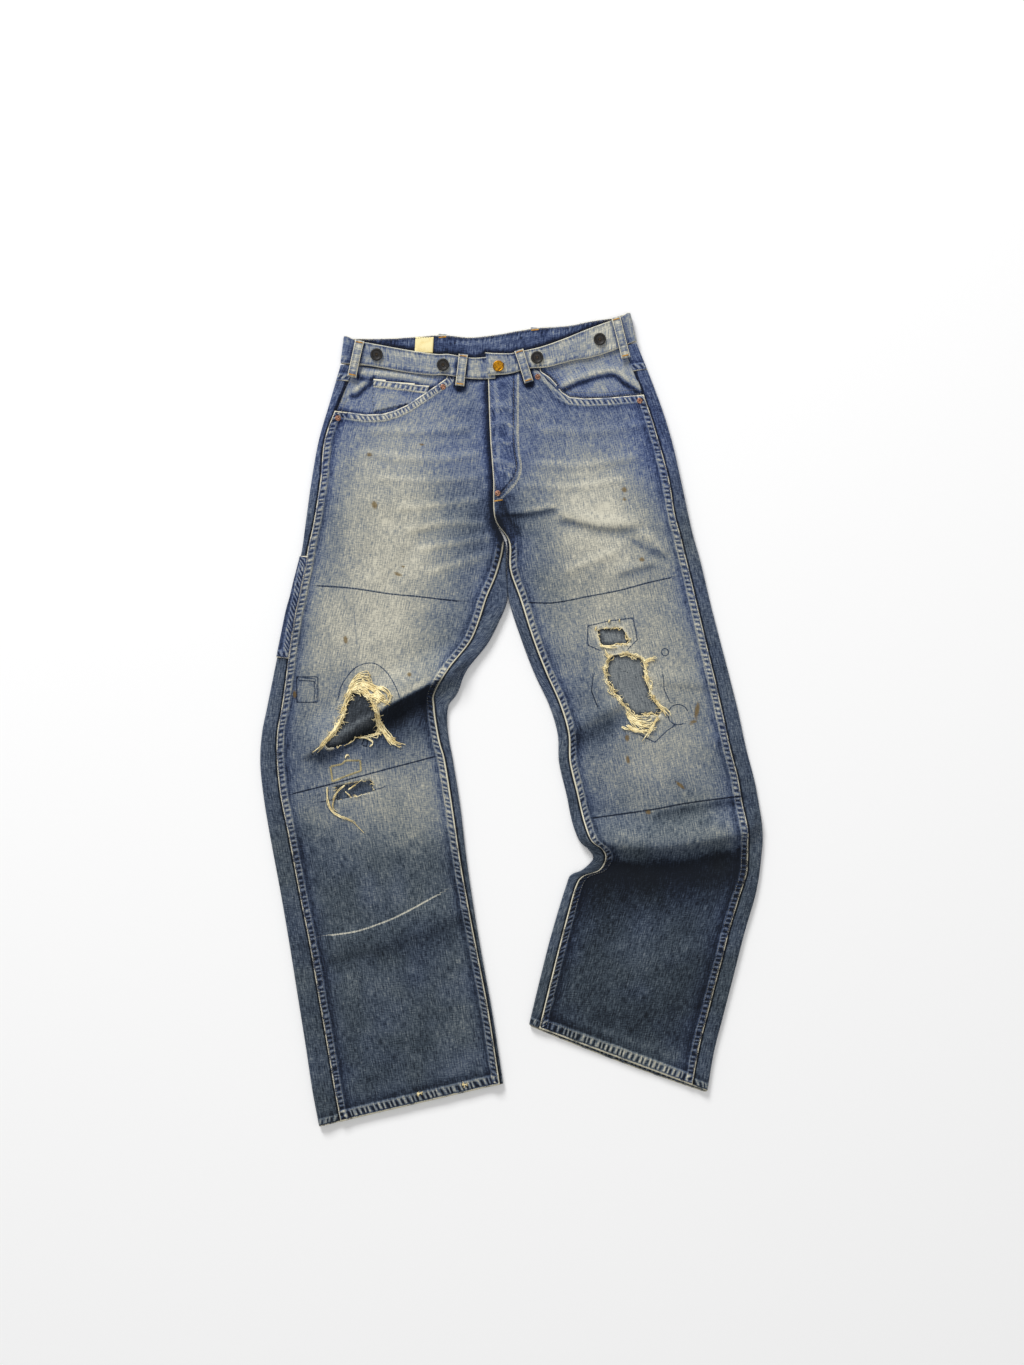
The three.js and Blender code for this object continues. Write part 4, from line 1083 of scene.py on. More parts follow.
def back_fields(side, v, points, banded=1.0):
    """Fields and weave of a back panel: plain fading underneath, seams where it shows."""
    x, y, z = points[..., 0], points[..., 1], points[..., 2]
    on_top = smooth(2.5, 5.0, z) * banded
    seat = 0.44 + 0.16 * np.exp(-(((np.abs(x) - 140) / 80) ** 2 + ((y - 330) / 90) ** 2))
    hidden = lerp(0.34, seat, smooth(-260, -40, y)) + 0.06 * noise(x, y, 50, 21)
    strip = lerp(0.36, 0.40, smooth(-200, -60, y)) + 0.05 * noise(x, y, 40, 22)
    fade = np.clip(lerp(hidden, strip, on_top), 0, 1)
    along = run_along(np.nan_to_num(points))
    cross = np.nancumsum(np.linalg.norm(np.diff(points, axis=1, prepend=points[:, :1]), axis=2), axis=1)
    seam_d = np.full(x.shape, -1e3)
    for j in range(x.shape[1]):
        rows = Rows(side, v[:, j])
        ox, oy = rows.at(rows.outseam)
        ix, iy = rows.at(rows.length)
        outer = -np.hypot(x[:, j] - ox, y[:, j] - oy)
        inner = np.where(rows.v >= CROTCH, -np.hypot(x[:, j] - ix, y[:, j] - iy), -1e3)
        seam_d[:, j] = np.maximum(outer, inner)
    to_hem = along[-1:, :] - along
    fields = cloth_fields(x, fade=fade, dust=dust_field(x, y), seam=np.stack([seam_d, along, on_top], -1),
                          hem=np.stack([to_hem, cross, np.full_like(fade, banded)], -1))
    return fields, np.stack([cross, along], -1)


def yoke_seam():
    """Station number of the yoke's lower seam in each column."""
    return 0.5 + 0.85 * SHARE


def back_panel(side):
    base = leg_rows(side, CELL * 1.15, 0.5)
    top = yoke_seam()
    eased = np.clip((base[:, None] - 0.5) / 1.5, 0, 1)
    v = np.where(base[:, None] < 2, lerp(top[None, :], 2, eased), base[:, None])
    points = back_grid(side, v)
    if side == "left":
        last = len(LEGS[side]) - 1
        hang = BACK_HEM_DROP * smooth(last - 2, last, base)
        share = np.clip((np.arange(len(COURSE)) - HANG_FROM) / HANG_OVER, 0, 1)
        under = np.sin(np.pi * share) ** 0.6
        points[..., :2] += (hang[:, None] * under[None, :])[..., None] * HANG_WAY
    fields, weave = back_fields(side, v, points)
    cloth(f"back_{side}", "denim_back", points, weave, fields, flip=(side == "left"))


def band_bottom(x):
    """Lower edge of the waistband on the back, at a place across."""
    points = [RIGHT_EDGE[0], *[(bx - 2, by - BAND_WIDTH) for bx, by in BACK_BAND], LEFT_EDGE[0]]
    return np.interp(x, [p[0] for p in points], [p[1] for p in points])


def under_band(side, j):
    """Station number at which a column of the back meets the waistband."""
    kind, t = COURSE[j]
    low, high = -1.2, 1.0
    for _ in range(18):
        v = (low + high) / 2
        x, y, _ = back_column(side, np.array([v]), kind, t)[0]
        if y > band_bottom(x) + 2.0:
            low = v
        else:
            high = v
    return max(high, 0.03) if j < FIRST_UNDER else high


def yoke(side):
    """A yoke, from under the waistband down to the back panel."""
    last = FIRST_UNDER + UNDER_STEPS
    v = np.full((YOKE_ROWS, len(COURSE)), 0.5)
    for j in range(last):
        v[:, j] = np.linspace(under_band(side, j), yoke_seam()[j] + 0.03, YOKE_ROWS)
    points = back_grid(side, v)
    points[:, last:] = np.nan
    lapped = 0.7 * smooth(0.8, 1.0, np.linspace(0, 1, YOKE_ROWS))
    points[..., 2] += lapped[:, None] * (SHARE <= 0)[None, :]
    fields, weave = back_fields(side, v, points, 0.0)
    fields["hem"][..., 2] = 1
    fields["fade"] = np.clip(fields["fade"] - 0.04, 0, 1)
    cloth(f"yoke_{side}", "denim_back", points, weave, fields, flip=(side == "left"))


# ---- layers seen through the mouths and holes
LAYER_STEP = 1.6      # from a front's middle surface down to the next layer's
WATCH_STEP = 0.3      # the same to the watch pocket's, which lies on the facing
FACING_FOLDS = {
    "right": [([(-204, 478), (-150, 473), (-104, 463)], 1.8, 7, 8), ([(-216, 452), (-196, 469)], 1.6, 6, 6)],
    "left": [([(66, 457), (96, 470), (138, 480), (158, 468), (177, 455)], 2.4, 12, 5)],
}
WATCH_POCKET = [(-190, 478), (-190, 424), (-130, 438), (-114, 450), (-110, 469)]
WATCH_TOP = [(-191, 469), (-150, 464), (-112, 459)]


def under_layer(side, first, last, drop_by, outline=None, cell=3.0):
    """A layer below the front panel, as a grid, the quads to leave out and its fields."""
    rows = Rows(side, leg_rows(side, cell, first))
    rows = Rows(side, rows.v[rows.v <= last])
    count = int(np.median(rows.length) / cell)
    fly = 0.0 if first < 2 else 3.0
    d = lerp((rows.outseam + 0.4)[:, None], (rows.length - fly)[:, None], np.linspace(0, 1, count)[None, :])
    points = np.stack([rows.upper(d[:, j]) for j in range(count)], axis=1)
    points[..., 2] -= drop_by
    drop = None if outline is None else ~diagonals_inside(points, outline)
    return points, np.stack([d, run_along(points)], -1), cloth_fields(d), drop


def diagonals_inside(points, outline):
    """Which quads of a grid have the middle of one diagonal inside an outline."""
    centre = (points[:-1, :-1] + points[1:, 1:]) / 2
    return inside(centre[..., 0], centre[..., 1], outline)


def grown(outline, by):
    """An outline moved outwards from its middle."""
    p = np.array(outline, float)
    away = p - p.mean(axis=0)
    return (p + away / np.linalg.norm(away, axis=1)[:, None] * by).tolist()


def pocket_facing(side):
    """The cloth inside a pocket mouth, with its folds."""
    points, weave, fields, drop = under_layer(side, 0.0, 2.2, LAYER_STEP, grown(MOUTHS[side], 9), 2.4)
    x, y = points[..., 0], points[..., 1]
    for line, height, left, right in FACING_FOLDS[side]:
        d, turn = to_line(x, y, curve_through(line))
        t = np.clip(d / np.where(turn > 0, left, right), 0, 1)
        crest = 0.5 + 0.5 * np.cos(np.pi * t)
        points[..., 2] += height * crest
        # the crests paler, partly worn and partly a painted highlight; painted shadow below each fold
        fields["fade"] += 0.24 * crest ** 2
        below = 0.75 * bell(d - right - 1, 3.2) * (turn < 0)
        fields["shade"] = np.maximum(fields["shade"], below)
    gap = to_outline(x, y, MOUTHS[side])
    # paler overall and a little darker close to the mouth's edge, with painted shadow right under that edge
    fields["fade"] += 0.60 + 0.08 * noise(x, y, 20, 31) - 0.10 * bell(gap, 9)
    fields["shade"] = np.maximum(fields["shade"], 0.55 * bell(gap, 3.5))
    cloth(f"pocket_facing_{side}", "denim_facing", points, weave, fields, drop, side == "left")


def watch_pocket():
    """The small pocket on the right facing, hemmed along its top."""
    points, weave, fields, drop = under_layer("right", 0.0, 2.0, WATCH_STEP, WATCH_POCKET, 1.9)
    drop |= ~diagonals_inside(points, grown(MOUTHS["right"], 3))
    x, y = points[..., 0], points[..., 1]
    d, turn = to_line(x, y, WATCH_TOP)
    drop |= (turn[:-1, :-1] > 0) & (d[:-1, :-1] > 1)
    points[..., 2] += 0.5 * (1 - smooth(7, 10, d))
    fields["fade"] += 0.66 + 0.08 * noise(x, y, 18, 33)
    fields["hem"] = np.stack([d, x, np.ones_like(d)], -1)
    fields["core"] = 0.8 * bell(d - 9.6, 1.3) + 0.5 * bell(d, 1.5)
    cloth("watch_pocket", "denim_facing", points, weave, fields, drop)


PATCH_CREST = [(-262, -34), (-228, -14), (-200, 2), (-170, 20)]
PATCH_ROWS = {"right": (7.2, 14.6), "left": (7.2, 14.2)}      # station numbers


def knee_patch(side):
    """The mending cloth behind a knee, creased where the right knee is folded."""
    first, last = PATCH_ROWS[side]
    points, weave, fields, _ = under_layer(side, first, last, LAYER_STEP, None, 3.2)
    x, y = points[..., 0], points[..., 1]
    points[..., 2] += 0.5 * noise(x, y, 22, 41) - 0.3
    fields["fade"] += (0.42 if side == "right" else 0.74) + 0.08 * noise(x, y, 26, 42)
    if side == "right":
        d, turn = to_line(x, y, curve_through(PATCH_CREST))
        # a painted highlight along the crest, darker above it, and painted shade below it
        fields["fade"] += 0.20 * bell(d, 5) - 0.10 * (turn > 0) * smooth(3, 8, d)
        fields["shade"] += 0.45 * (turn < 0) * smooth(6, 14, d)
    for outline in HOLES[side]:
        gap = to_outline(x, y, outline)
        # painted shadow under the front's torn edge round each hole
        fields["shade"] = np.maximum(fields["shade"], 0.55 * bell(gap, 4.5))
    cloth(f"knee_patch_{side}", "patch_denim", points, weave, fields, None, side == "left", PATCH_DENIM)


# ---- folded strips: band, loops
RIGHT_EDGE = [(-234, 490), (-229, 528)]
LEFT_EDGE = [(171, 520), (162, 560)]
FRONT_RIGHT_BAND = [
    [(-22, 469.5), (-25, 500)], [(-32, 469), (-36, 499)], [(-57, 469), (-57, 498)],
    [(-91, 474), (-86, 503)], [(-111, 474), (-104, 503)], [(-145, 478), (-145, 509)],
    [(-196, 487), (-194, 518)], [(-217, 489), (-212, 521)],
]
BACK_BAND = [
    (-218, 525), (-192, 525), (-154, 526), (-96, 530), (-57, 527), (-19, 531),
    (28, 539), (78, 543), (108, 549), (138, 553),
]
FRONT_LEFT_BAND = [
    [(155, 514), (148, 553)], [(138, 507), (137, 549)], [(109, 498), (109, 539)],
    [(85, 494), (77, 526)], [(50, 485), (44, 514)], [(25, 483), (19, 508)],
    [(-2, 476), (-2, 504)], [(-20, 474), (-22, 504)], [(-32, 474), (-36, 505)],
]


def strip_section(across_steps):
    """Round a folded strip: share of the width and of half the thickness."""
    flat = np.linspace(0.035, 0.965, across_steps)
    fold = [(0.99, 0.72), (1.0, 0.0), (0.99, -0.72)]
    top = [(u, 1.0) for u in flat]
    under = [(u, -1.0) for u in flat[::-1]]
    return top + fold + under + [(1 - u, -h) for u, h in fold]


def strip(node, low, high, thickness, fade, across_steps, ripple, shade=None):
    """A node's closed folded strip of denim between two edges, given as rows of points."""
    name = f"{node}_cloth"
    low, high = np.asarray(low, float), np.asarray(high, float)
    run = np.gradient((low + high) / 2, axis=0)
    across = high - low
    width = np.linalg.norm(across, axis=1)
    normal = np.cross(run, across)
    normal /= np.linalg.norm(normal, axis=1)[:, None]
    along = np.concatenate([[0], np.cumsum(np.linalg.norm(np.diff((low + high) / 2, axis=0), axis=1))])
    section = strip_section(across_steps)
    u = np.array([s[0] for s in section])
    h = np.array([s[1] for s in section])
    points = low[:, None] + across[:, None] * u[None, :, None]
    x_here = along[:, None] + 0 * u[None, :]
    y_here = width[:, None] * u[None, :]
    edge = np.minimum(y_here, width[:, None] - y_here)
    pucker = bell(edge - 4.5, 3.0) * np.sin(2 * np.pi * (along / PUCKER)[:, None]
                                                        + 3 * noise(x_here, y_here, 30, 51))
    groove = -0.30 * bell(edge - 2.0, 0.8)
    swell = 1 + groove + 0.16 * pucker + 0.12 * noise(x_here, y_here, 8, 52)
    wave = ripple * noise(x_here, y_here, 17, 53)
    points = points + normal[:, None] * ((h[None, :] * swell) * thickness / 2 + wave)[..., None]
    CUTS[name] = (width.max() * MM, along[-1] * MM, width.mean() * along[-1] * MM * MM)
    index = np.arange(len(along) * len(section)).reshape(len(along), len(section))
    after = np.roll(index, -1, axis=1)
    faces = np.stack([index[:-1], after[:-1], after[1:], index[1:]], -1).reshape(-1, 4).tolist()
    faces += [index[0][::-1].tolist(), index[-1].tolist()]
    piece = mesh_object(name, points.reshape(-1, 3), faces)
    # the underside's weave lies 100 mm away, so that the two sides differ
    put_weave(piece.data, np.stack([x_here, y_here + 100 * (h[None, :] < 0)], -1).reshape(-1, 2))
    x, y = points[..., 0], points[..., 1]
    # painted shade in the stitched channel a little in from each edge
    channel = 0.34 * bell(edge - 3.0, 1.0)
    shaded = channel if shade is None else np.maximum(channel, shade(x, y, points[..., 2]))
    fields = cloth_fields(
        x, fade=fade(x, y) + 0.07 * pucker, shade=shaded, core=0.62 * bell(edge, 1.2),
        dust=np.full(x.shape, 0.15), hem=np.stack([edge, x_here, np.full(x.shape, 0.25)], -1))
    for key, data in fields.items():
        put_field(piece.data, key, data, index.ravel())
    piece.data.materials.append(DENIM)
    return finish_piece(piece, "denim_band", node)


def smooth_band(pairs, z, steps):
    """A stretch of the band, as rows of its low and high edge, at a height for each x."""
    rows = np.array([[*low, *high] for low, high in pairs], float)
    rows = curve_through(rows, steps)
    heights = z(rows[:, 0])
    return np.column_stack([rows[:, :2], heights, rows[:, 2:], heights])


def band_turn(edge, sign, degrees):
    """The band's round turn from the front to the back, about its edge."""
    radius = (FRONT_BAND_Z - BACK_BAND_Z) / 2
    a = np.radians(degrees)[:, None]
    shift = sign * (radius - radius * np.cos(a))
    z = BACK_BAND_Z + radius + radius * np.sin(a)
    (lx, ly), (hx, hy) = edge
    ones = np.ones_like(a)
    return np.hstack([lx + shift, ly * ones, z, hx + shift, hy * ones, z])


RIGHT_STEPS, LEFT_STEPS, BACK_STEPS = 7, 8, 12     # rows of the band from one listed to the next


def waistband():
    """The folded band, from its end under the fly round the back to the fly's end."""
    arc = np.arange(90, -91, -15)
    right_turn = band_turn(RIGHT_EDGE, 1, arc)
    left_turn = band_turn(LEFT_EDGE, -1, arc[::-1])
    back = [[(x - 2, y - BAND_WIDTH), (x, y)] for x, y in BACK_BAND]
    course = np.vstack([
        smooth_band(FRONT_RIGHT_BAND, lambda x: FRONT_BAND_Z - 1.7 * smooth(-52, -40, x), RIGHT_STEPS),
        right_turn,
        smooth_band(back, lambda x: BACK_BAND_Z + 0 * x, BACK_STEPS),
        left_turn,
        smooth_band(FRONT_LEFT_BAND, lambda x: FRONT_BAND_Z + 1.1 * smooth(-2, -14, x), LEFT_STEPS),
    ])

    # which rows are in front: the two stretches, and half of each turn
    half_turn = len(arc) // 2
    fronts = np.zeros((len(course), 1), bool)
    fronts[:(len(FRONT_RIGHT_BAND) - 1) * RIGHT_STEPS + half_turn + 1] = True
    fronts[-(len(FRONT_LEFT_BAND) - 1) * LEFT_STEPS - half_turn - 1:] = True

    def fade(x, y):
        front = 0.69 + 0.09 * smooth(-20, 60, x) + 0.12 * noise(x, y, 24, 61) + 0.09 * noise(x, y, 9, 62)
        under_fly = smooth(-50, -40, x) * smooth(-14, -22, x) * (y < 505 - 0.2 * x)
        front = front - 0.14 * smooth(-205, -220, x) - 0.16 * smooth(146, 160, x)
        front = front - 0.20 * smooth(-50, -42, x) * smooth(-30, -36, x) * under_fly
        inner = 0.36 + 0.10 * noise(x, y, 14, 63) + 0.08 * noise(x, y, 5, 64)
        return np.where(fronts, front, inner)

    def shade(x, y, z):
        # painted shadow of the front band's top edge on the inside of the back band, and painted shade beside
        # the belt loops in front
        front_band_shadow = 0.8 * bell(to_front_band(x, y, 1), 4.5)
        return np.where(fronts, beside_loops(x, y), front_band_shadow * (z > BACK_BAND_Z))

    strip("waistband", course[:, :3], course[:, 3:], BAND, fade, 15, 0.35, shade)


LOOP_WIDTH = 12.5
LOOP_THICK = 1.8
LOOP_EDGE = 4.6       # from a loop's middle to its stitching
LOOP_Z = FRONT_BAND_Z + BAND / 2 + 0.3 + LOOP_THICK / 2 + 0.3
BACK_LOOP_Z = LOOP_THICK / 2 + 0.25
# Each loop's top, bottom, height and bow
BELT_LOOPS = {
    "side_right": ((-208, 521), (-219, 471), LOOP_Z, 1.8),
    "front_right": ((-66, 502), (-71, 459), LOOP_Z, 1.8),
    "front_left": ((10, 508), (24, 464), LOOP_Z, 1.8),
    "side_left": ((143, 553), (157, 497), LOOP_Z, 1.8),
    "back_right": ((-95, 532), (-99, 486), BACK_LOOP_Z, 0.0),
    "back_left": ((32, 541), (30, 492), BACK_LOOP_Z, 0.0),
}
FRONT_LOOPS = [where for where in BELT_LOOPS if not where.startswith("back")]


def loop_line(where):
    """Top and bottom of a belt loop's middle, and the unit direction across it."""
    top, bottom = (np.array(end, float) for end in BELT_LOOPS[where][:2])
    down = bottom - top
    return top, bottom, np.array([-down[1], down[0]]) / np.hypot(*down)


def belt_loop(where):
    """A folded loop, tacked flat at both ends and bowed between them."""
    *_, z, bow = BELT_LOOPS[where]
    top, bottom, across = loop_line(where)
    low, high = [], []
    for t in np.linspace(0, 1, 26):
        arch = math.sin(math.pi * t)
        middle, half = lerp(top, bottom, t), across * LOOP_WIDTH / 2 * (1 - 0.05 * arch)
        low.append((*(middle - half), z + bow * arch ** 0.7))
        high.append((*(middle + half), z + bow * arch ** 0.7))
    strip(f"belt_loop_{where}", high, low, LOOP_THICK, lambda x, y: 0.80 + 0.14 * noise(x, y, 9, 71), 8, 0.12)


# ---- the hidden back
BACK_POCKET = [(-72, 0), (72, 0), (76, -118), (0, -160), (-76, -118)]
POCKET_AT = {"right": (-150, 418, 0.05), "left": (118, 418, -0.05)}     # place, and turn in radians


def on_seat(side, local):
    """Places given from the middle of a back pocket's top, put where it lies."""
    px, py, turn = POCKET_AT[side]
    lx, ly = local[..., 0], local[..., 1]
    return np.stack([px + lx * math.cos(turn) - ly * math.sin(turn),
                     py + lx * math.sin(turn) + ly * math.cos(turn)], -1)


def back_pocket(side):
    """A patch pocket on the seat, flat on what the jeans lie on."""
    local = np.stack(np.meshgrid(np.linspace(-76, 76, 62), np.linspace(0, -160, 66)), -1)
    drop = ~quads_inside(local, BACK_POCKET)
    snap_rim(local, drop, BACK_POCKET)
    lx, ly = local[..., 0], local[..., 1]
    edge = to_outline(lx, ly, BACK_POCKET)
    points = np.insert(on_seat(side, local), 2, CLOTH / 2, axis=2)
    fade = 0.44 + 0.16 * bell(edge - 4, 6) + 0.06 * noise(points[..., 0], points[..., 1], 30, 81)
    fields = cloth_fields(lx, fade=fade, dust=np.full(lx.shape, 0.2),
                          hem=np.stack([edge, lx + ly, np.ones(lx.shape)], -1))
    cloth(f"back_pocket_{side}", "denim_back", points, local, fields, drop, flip=True)


TOOL_POCKET_ROWS = (5.45, 10.36)     # station numbers
TOOL_POCKET_LIFT = 1.5               # how far it stands off the back panel


def tool_pocket():
    """A narrow pocket round the outer edge of the right leg."""
    v = leg_rows("right", 2.6, TOOL_POCKET_ROWS[0])
    v = v[v <= TOOL_POCKET_ROWS[1]]
    course = [("outer", t) for t in np.linspace(0.1, 1, 8, endpoint=False)]
    course += [("outer turn", a) for a in ARC] + [("under", 0.03), ("under", 0.06)]
    points = np.stack([back_column("right", v, *spot) for spot in course], axis=1)
    across = np.gradient(points, axis=1)
    down = np.gradient(points, axis=0)
    normal = np.cross(down, across)
    normal /= np.linalg.norm(normal, axis=2)[..., None]
    inward = points.mean(axis=1)[:, None] - points
    flip = np.where((normal * inward).sum(axis=2) > 0, -1.0, 1.0)[..., None]
    points = points + normal * flip * TOOL_POCKET_LIFT
    points[..., 2] = np.maximum(points[..., 2], CLOTH / 2 + 0.05)
    run = run_along(points)
    cross = np.cumsum(np.linalg.norm(np.diff(points, axis=1, prepend=points[:, :1]), axis=2), axis=1)
    edge = np.minimum(np.minimum(run, run[-1:] - run), cross)
    fade = 0.37 + 0.07 * noise(points[..., 0], points[..., 1], 20, 91)
    fields = cloth_fields(run, fade=fade, dust=np.full(run.shape, 0.3),
                          hem=np.stack([edge, run + cross, np.ones(run.shape)], -1))
    cloth("tool_pocket", "denim_back", points, np.stack([cross, run], -1), fields)


LABEL_CLOTH = 0.5     # thickness of the label


def size_label():
    """A bare woven label, its ends turned under, tacked inside the back of the band."""
    low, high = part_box("size_label")
    u = np.linspace(low[0], high[0], 15) / MM
    v = np.linspace(high[1], low[1], 14) / MM
    x, y = np.meshgrid(u, v)
    t = (y - y.min()) / (y.max() - y.min())
    z = low[2] / MM + 0.45 + 0.5 * np.sin(np.pi * t) * (0.6 + 0.4 * noise(x, y, 9, 95))
    points = np.stack([x + 1.2 * (t - 0.5), y, z], -1)
    cloth("size_label", "label_cloth", points, np.stack([x, y], -1), {"fade": np.zeros(x.shape)},
          flip=True, material=LABEL, thickness=LABEL_CLOTH)


# ---- make the cloth
for side in ("right", "left"):
    front_panel(side)
for side in ("right", "left"):
    back_panel(side)
    yoke(side)
    pocket_facing(side)
    knee_patch(side)
    back_pocket(side)
watch_pocket()
waistband()
for where in BELT_LOOPS:
    belt_loop(where)
tool_pocket()
size_label()


# ---- ground for stitches
class Ground:
    """The top of some pieces of cloth, or their underside, to lay stitches on."""

    def __init__(self, pieces, below=False):
        graph = bpy.context.evaluated_depsgraph_get()
        graph.update()
        self.trees = [BVHTree.FromObject(piece, graph) for piece in pieces]
        self.below = below

    def at(self, x, y):
        """Height in millimetres and slope at a place, or None beside the cloth."""
        start, way = (-0.05, 1) if self.below else (0.2, -1)
        best = None
        for tree in self.trees:
            place, normal, _, _ = tree.ray_cast(Vector((x * MM, y * MM, start)), Vector((0, 0, way)))
            if place is None:
                continue
            if best is None or (place.z - best[0]) * way < 0:
                best = (place.z, normal)
        if best is None:
            return None
        normal = np.array(best[1])
        if normal[2] * way > 0:
            normal = -normal
        return best[0] / MM, normal


def spot_at(s, run, points):
    """Places at distances s along a path of points."""
    return np.stack([np.interp(s, run, points[:, k]) for k in (0, 1)], -1)


def even_steps(path, pitch):
    """Places and directions at even steps along a path of points."""
    p = np.asarray(path, float)
    run = path_run(p)
    s = np.arange(pitch / 2, run[-1], pitch)
    before, at, after = (spot_at(s + shift, run, p) for shift in (-0.5, 0, 0.5))
    ahead = after - before
    return at, ahead / np.maximum(np.linalg.norm(ahead, axis=1), 1e-9)[:, None]


def clear_selection():
    """Deselects everything, so that an operator acts on the next piece alone."""
    for other in bpy.context.selected_objects:
        other.select_set(False)


def take_mesh():
    """Vertices and faces of the active object, which is then removed."""
    piece = bpy.context.active_object
    vertices = np.array([v.co[:] for v in piece.data.vertices])
    faces = [list(face.vertices) for face in piece.data.polygons]
    bpy.data.objects.remove(piece)
    return vertices, faces


def stitch_form():
    """One stitch, a millimetre long, wide and high: a bead pulled long."""
    clear_selection()
    bpy.ops.mesh.primitive_uv_sphere_add(segments=5, ring_count=4, radius=0.5, rotation=(0, math.pi / 2, 0))
    bpy.ops.object.transform_apply(location=False, rotation=True, scale=True)
    vertices, faces = take_mesh()
    # a sphere's faces come in any order, so they are put in the same one each time
    faces = [face[face.index(min(face)):] + face[:face.index(min(face))] for face in faces]
    return vertices, sorted(faces)


STITCH = stitch_form()


class Thread:
    """Gathers stitches of one thread into one piece."""

    def __init__(self, name, material, ground, slot, lift=0.12):
        self.name, self.material, self.ground, self.slot, self.lift = name, material, ground, slot, lift
        self.vertices, self.faces, self.count = [], [], 0
        self.random = np.random.default_rng(len(name) * 7 + 5)

    def add(self, x, y, direction, length, width, raised=0.0):
        """One stitch on the cloth, along a direction."""
        spot = self.ground.at(x, y)
        if spot is None:
            return
        z, up = spot
        t = np.array([direction[0], direction[1], 0.0])
        t -= up * (t @ up)
        t /= np.linalg.norm(t)
        side = np.cross(up, t)
        form, faces = STITCH
        points = (np.array([x, y, z]) + up * (self.lift + raised) + form[:, :1] * length * t
                  + form[:, 1:2] * width * side + form[:, 2:3] * width * 0.8 * up)
        self.vertices.append(points)
        self.faces += [[i + self.count for i in face] for face in faces]
        self.count += len(form)

    def line(self, path, pitch=3.4, length=2.5, width=0.75, offset=0.0, gaps=0.0, smooth_path=True):
        """Running stitches along a path, or beside it, with a share of them worn away."""
        path = curve_through(path) if smooth_path else np.asarray(path, float)
        at, ahead = even_steps(path, pitch)
        for (x, y), (tx, ty) in zip(at, ahead):
            if self.random.random() < gaps:
                continue
            shift = offset + self.random.normal(0, 0.10)
            wobble = self.random.normal(0, 0.05)
            self.add(x - ty * shift, y + tx * shift, (tx - ty * wobble, ty + tx * wobble),
                     length * self.random.uniform(0.88, 1.08), width)

    def tack(self, a, b, width=2.2, pitch=0.8):
        """A bar tack: short stitches side by side from a to b."""
        at, ahead = even_steps([a, b], pitch)
        for i, ((x, y), (tx, ty)) in enumerate(zip(at, ahead)):
            lean = 0.22 if i % 2 else -0.22
            self.add(x, y, (-ty + lean * tx, tx + lean * ty), width, 0.85, 0.13)

    def finish(self):
        piece = mesh_object(self.name, np.vstack(self.vertices), self.faces)
        piece.data.materials.append(self.material)
        return finish_piece(piece, self.slot)


def leg_path(side, d_of, first, last, step=9.0):
    """Points down a leg at a distance worked out from its rows."""
    v = leg_rows(side, step, first)
    rows = Rows(side, v[v <= last])
    return np.stack(rows.at(d_of(rows)), -1)


# Outline of the cream darning on the right knee
CREAM_DARN = [(-248, -63), (-233, -60), (-228, -55), (-208, -55), (-207, -69), (-229, -77), (-246, -84),
              (-249, -63)]


def pieces_named(*starts):
    return [piece for piece in PIECES if piece.name.startswith(starts)]


def sew(ground):
    """The stitches that show: topstitching, bar tacks and darning."""
    tan = Thread("tan_topstitching", TAN_THREAD, ground, "denim_front")
    for side in ("right", "left"):
        last = len(LEGS[side]) - 1
        for offset in SEAM_LINES:
            tan.line(leg_path(side, lambda r: r.outseam + offset, 0.9, last - 0.1), gaps=0.12)
            tan.line(leg_path(side, lambda r: r.length - offset, CROTCH + 0.1, last - 0.1), gaps=0.12)
        tan.line(hem_line(side), gaps=0.05, smooth_path=False)
        for offset in MOUTH_LINES:
            tan.line(MOUTHS[side][1:10], offset=offset)
    for offset in (0.0, 6.0):
        tan.line([(9 - offset, 470), (9 - offset, 382), (13 - offset, 350), (9 - offset, 332),
                  (1 - offset * 0.7, 320 + offset), (-12, 307 + offset), (-24, 301 + offset)])
    tan.line([(-29.8, 465), (-26.8, 386), (-22.8, 331), (-19, 300)])
    for pairs in (FRONT_RIGHT_BAND[1:], FRONT_LEFT_BAND):
        edges = np.array(pairs, float)
        for share in (0.06, 0.94):
            tan.line(lerp(edges[:, 0], edges[:, 1], share))
    tan.line([(x, y - 2.4) for x, y in BACK_BAND])
    tan.line([(-190, 466), (-150, 461), (-116, 456)])
    tan.line([(-189, 460), (-150, 455), (-124, 450)])
    for where in FRONT_LOOPS:
        top, bottom, across = loop_line(where)
        for edge in (-LOOP_EDGE, LOOP_EDGE):
            ends = [lerp(top, bottom, share) + across * edge for share in (0.05, 0.95)]
            tan.line(ends, pitch=3.0, length=2.2, smooth_path=False)
    tan.finish()

    gold = Thread("gold_bar_tacks", GOLD_THREAD, ground, "denim_band")
    for where in FRONT_LOOPS:
        top, bottom, across = loop_line(where)
        for share in (0.05, 0.94):
            middle = lerp(top, bottom, share)
            gold.tack(middle - across * LOOP_EDGE, middle + across * LOOP_EDGE)
    for x, y in ((-95, 527), (32, 537)):
        gold.tack((x - 5, y - 0.6), (x + 5, y + 0.6))
    gold.tack((-24, 301), (-12, 303), 2.0)
    gold.finish()

    cream = Thread("cream_darning", CREAM_THREAD, ground, "denim_front")
    for start, end in zip(CREAM_DARN, CREAM_DARN[1:]):
        cream.tack(start, end, 3.2, 1.0)
    cream.finish()

    dark = Thread("dark_darning", BLUE_THREAD, ground, "denim_front")
    for side in ("right", "left"):
        for path in KNEE_LINES[side]:
            dark.line(path, pitch=4.2, length=3.6, width=0.85)
        for path in DARNS[side]:
            dark.line(path, width=0.7, gaps=0.15, smooth_path=is_curved(path))
    dark.tack((-25, 487.5), (-10, 489), 3.2, 0.9)
    for x, y in ((-78, 519), (13, 526)):
        for turn in (0.4, 1.2, 2.0, 2.8):
            dark.add(x, y, (math.cos(turn), math.sin(turn)), 3.4, 0.7)
    dark.finish()


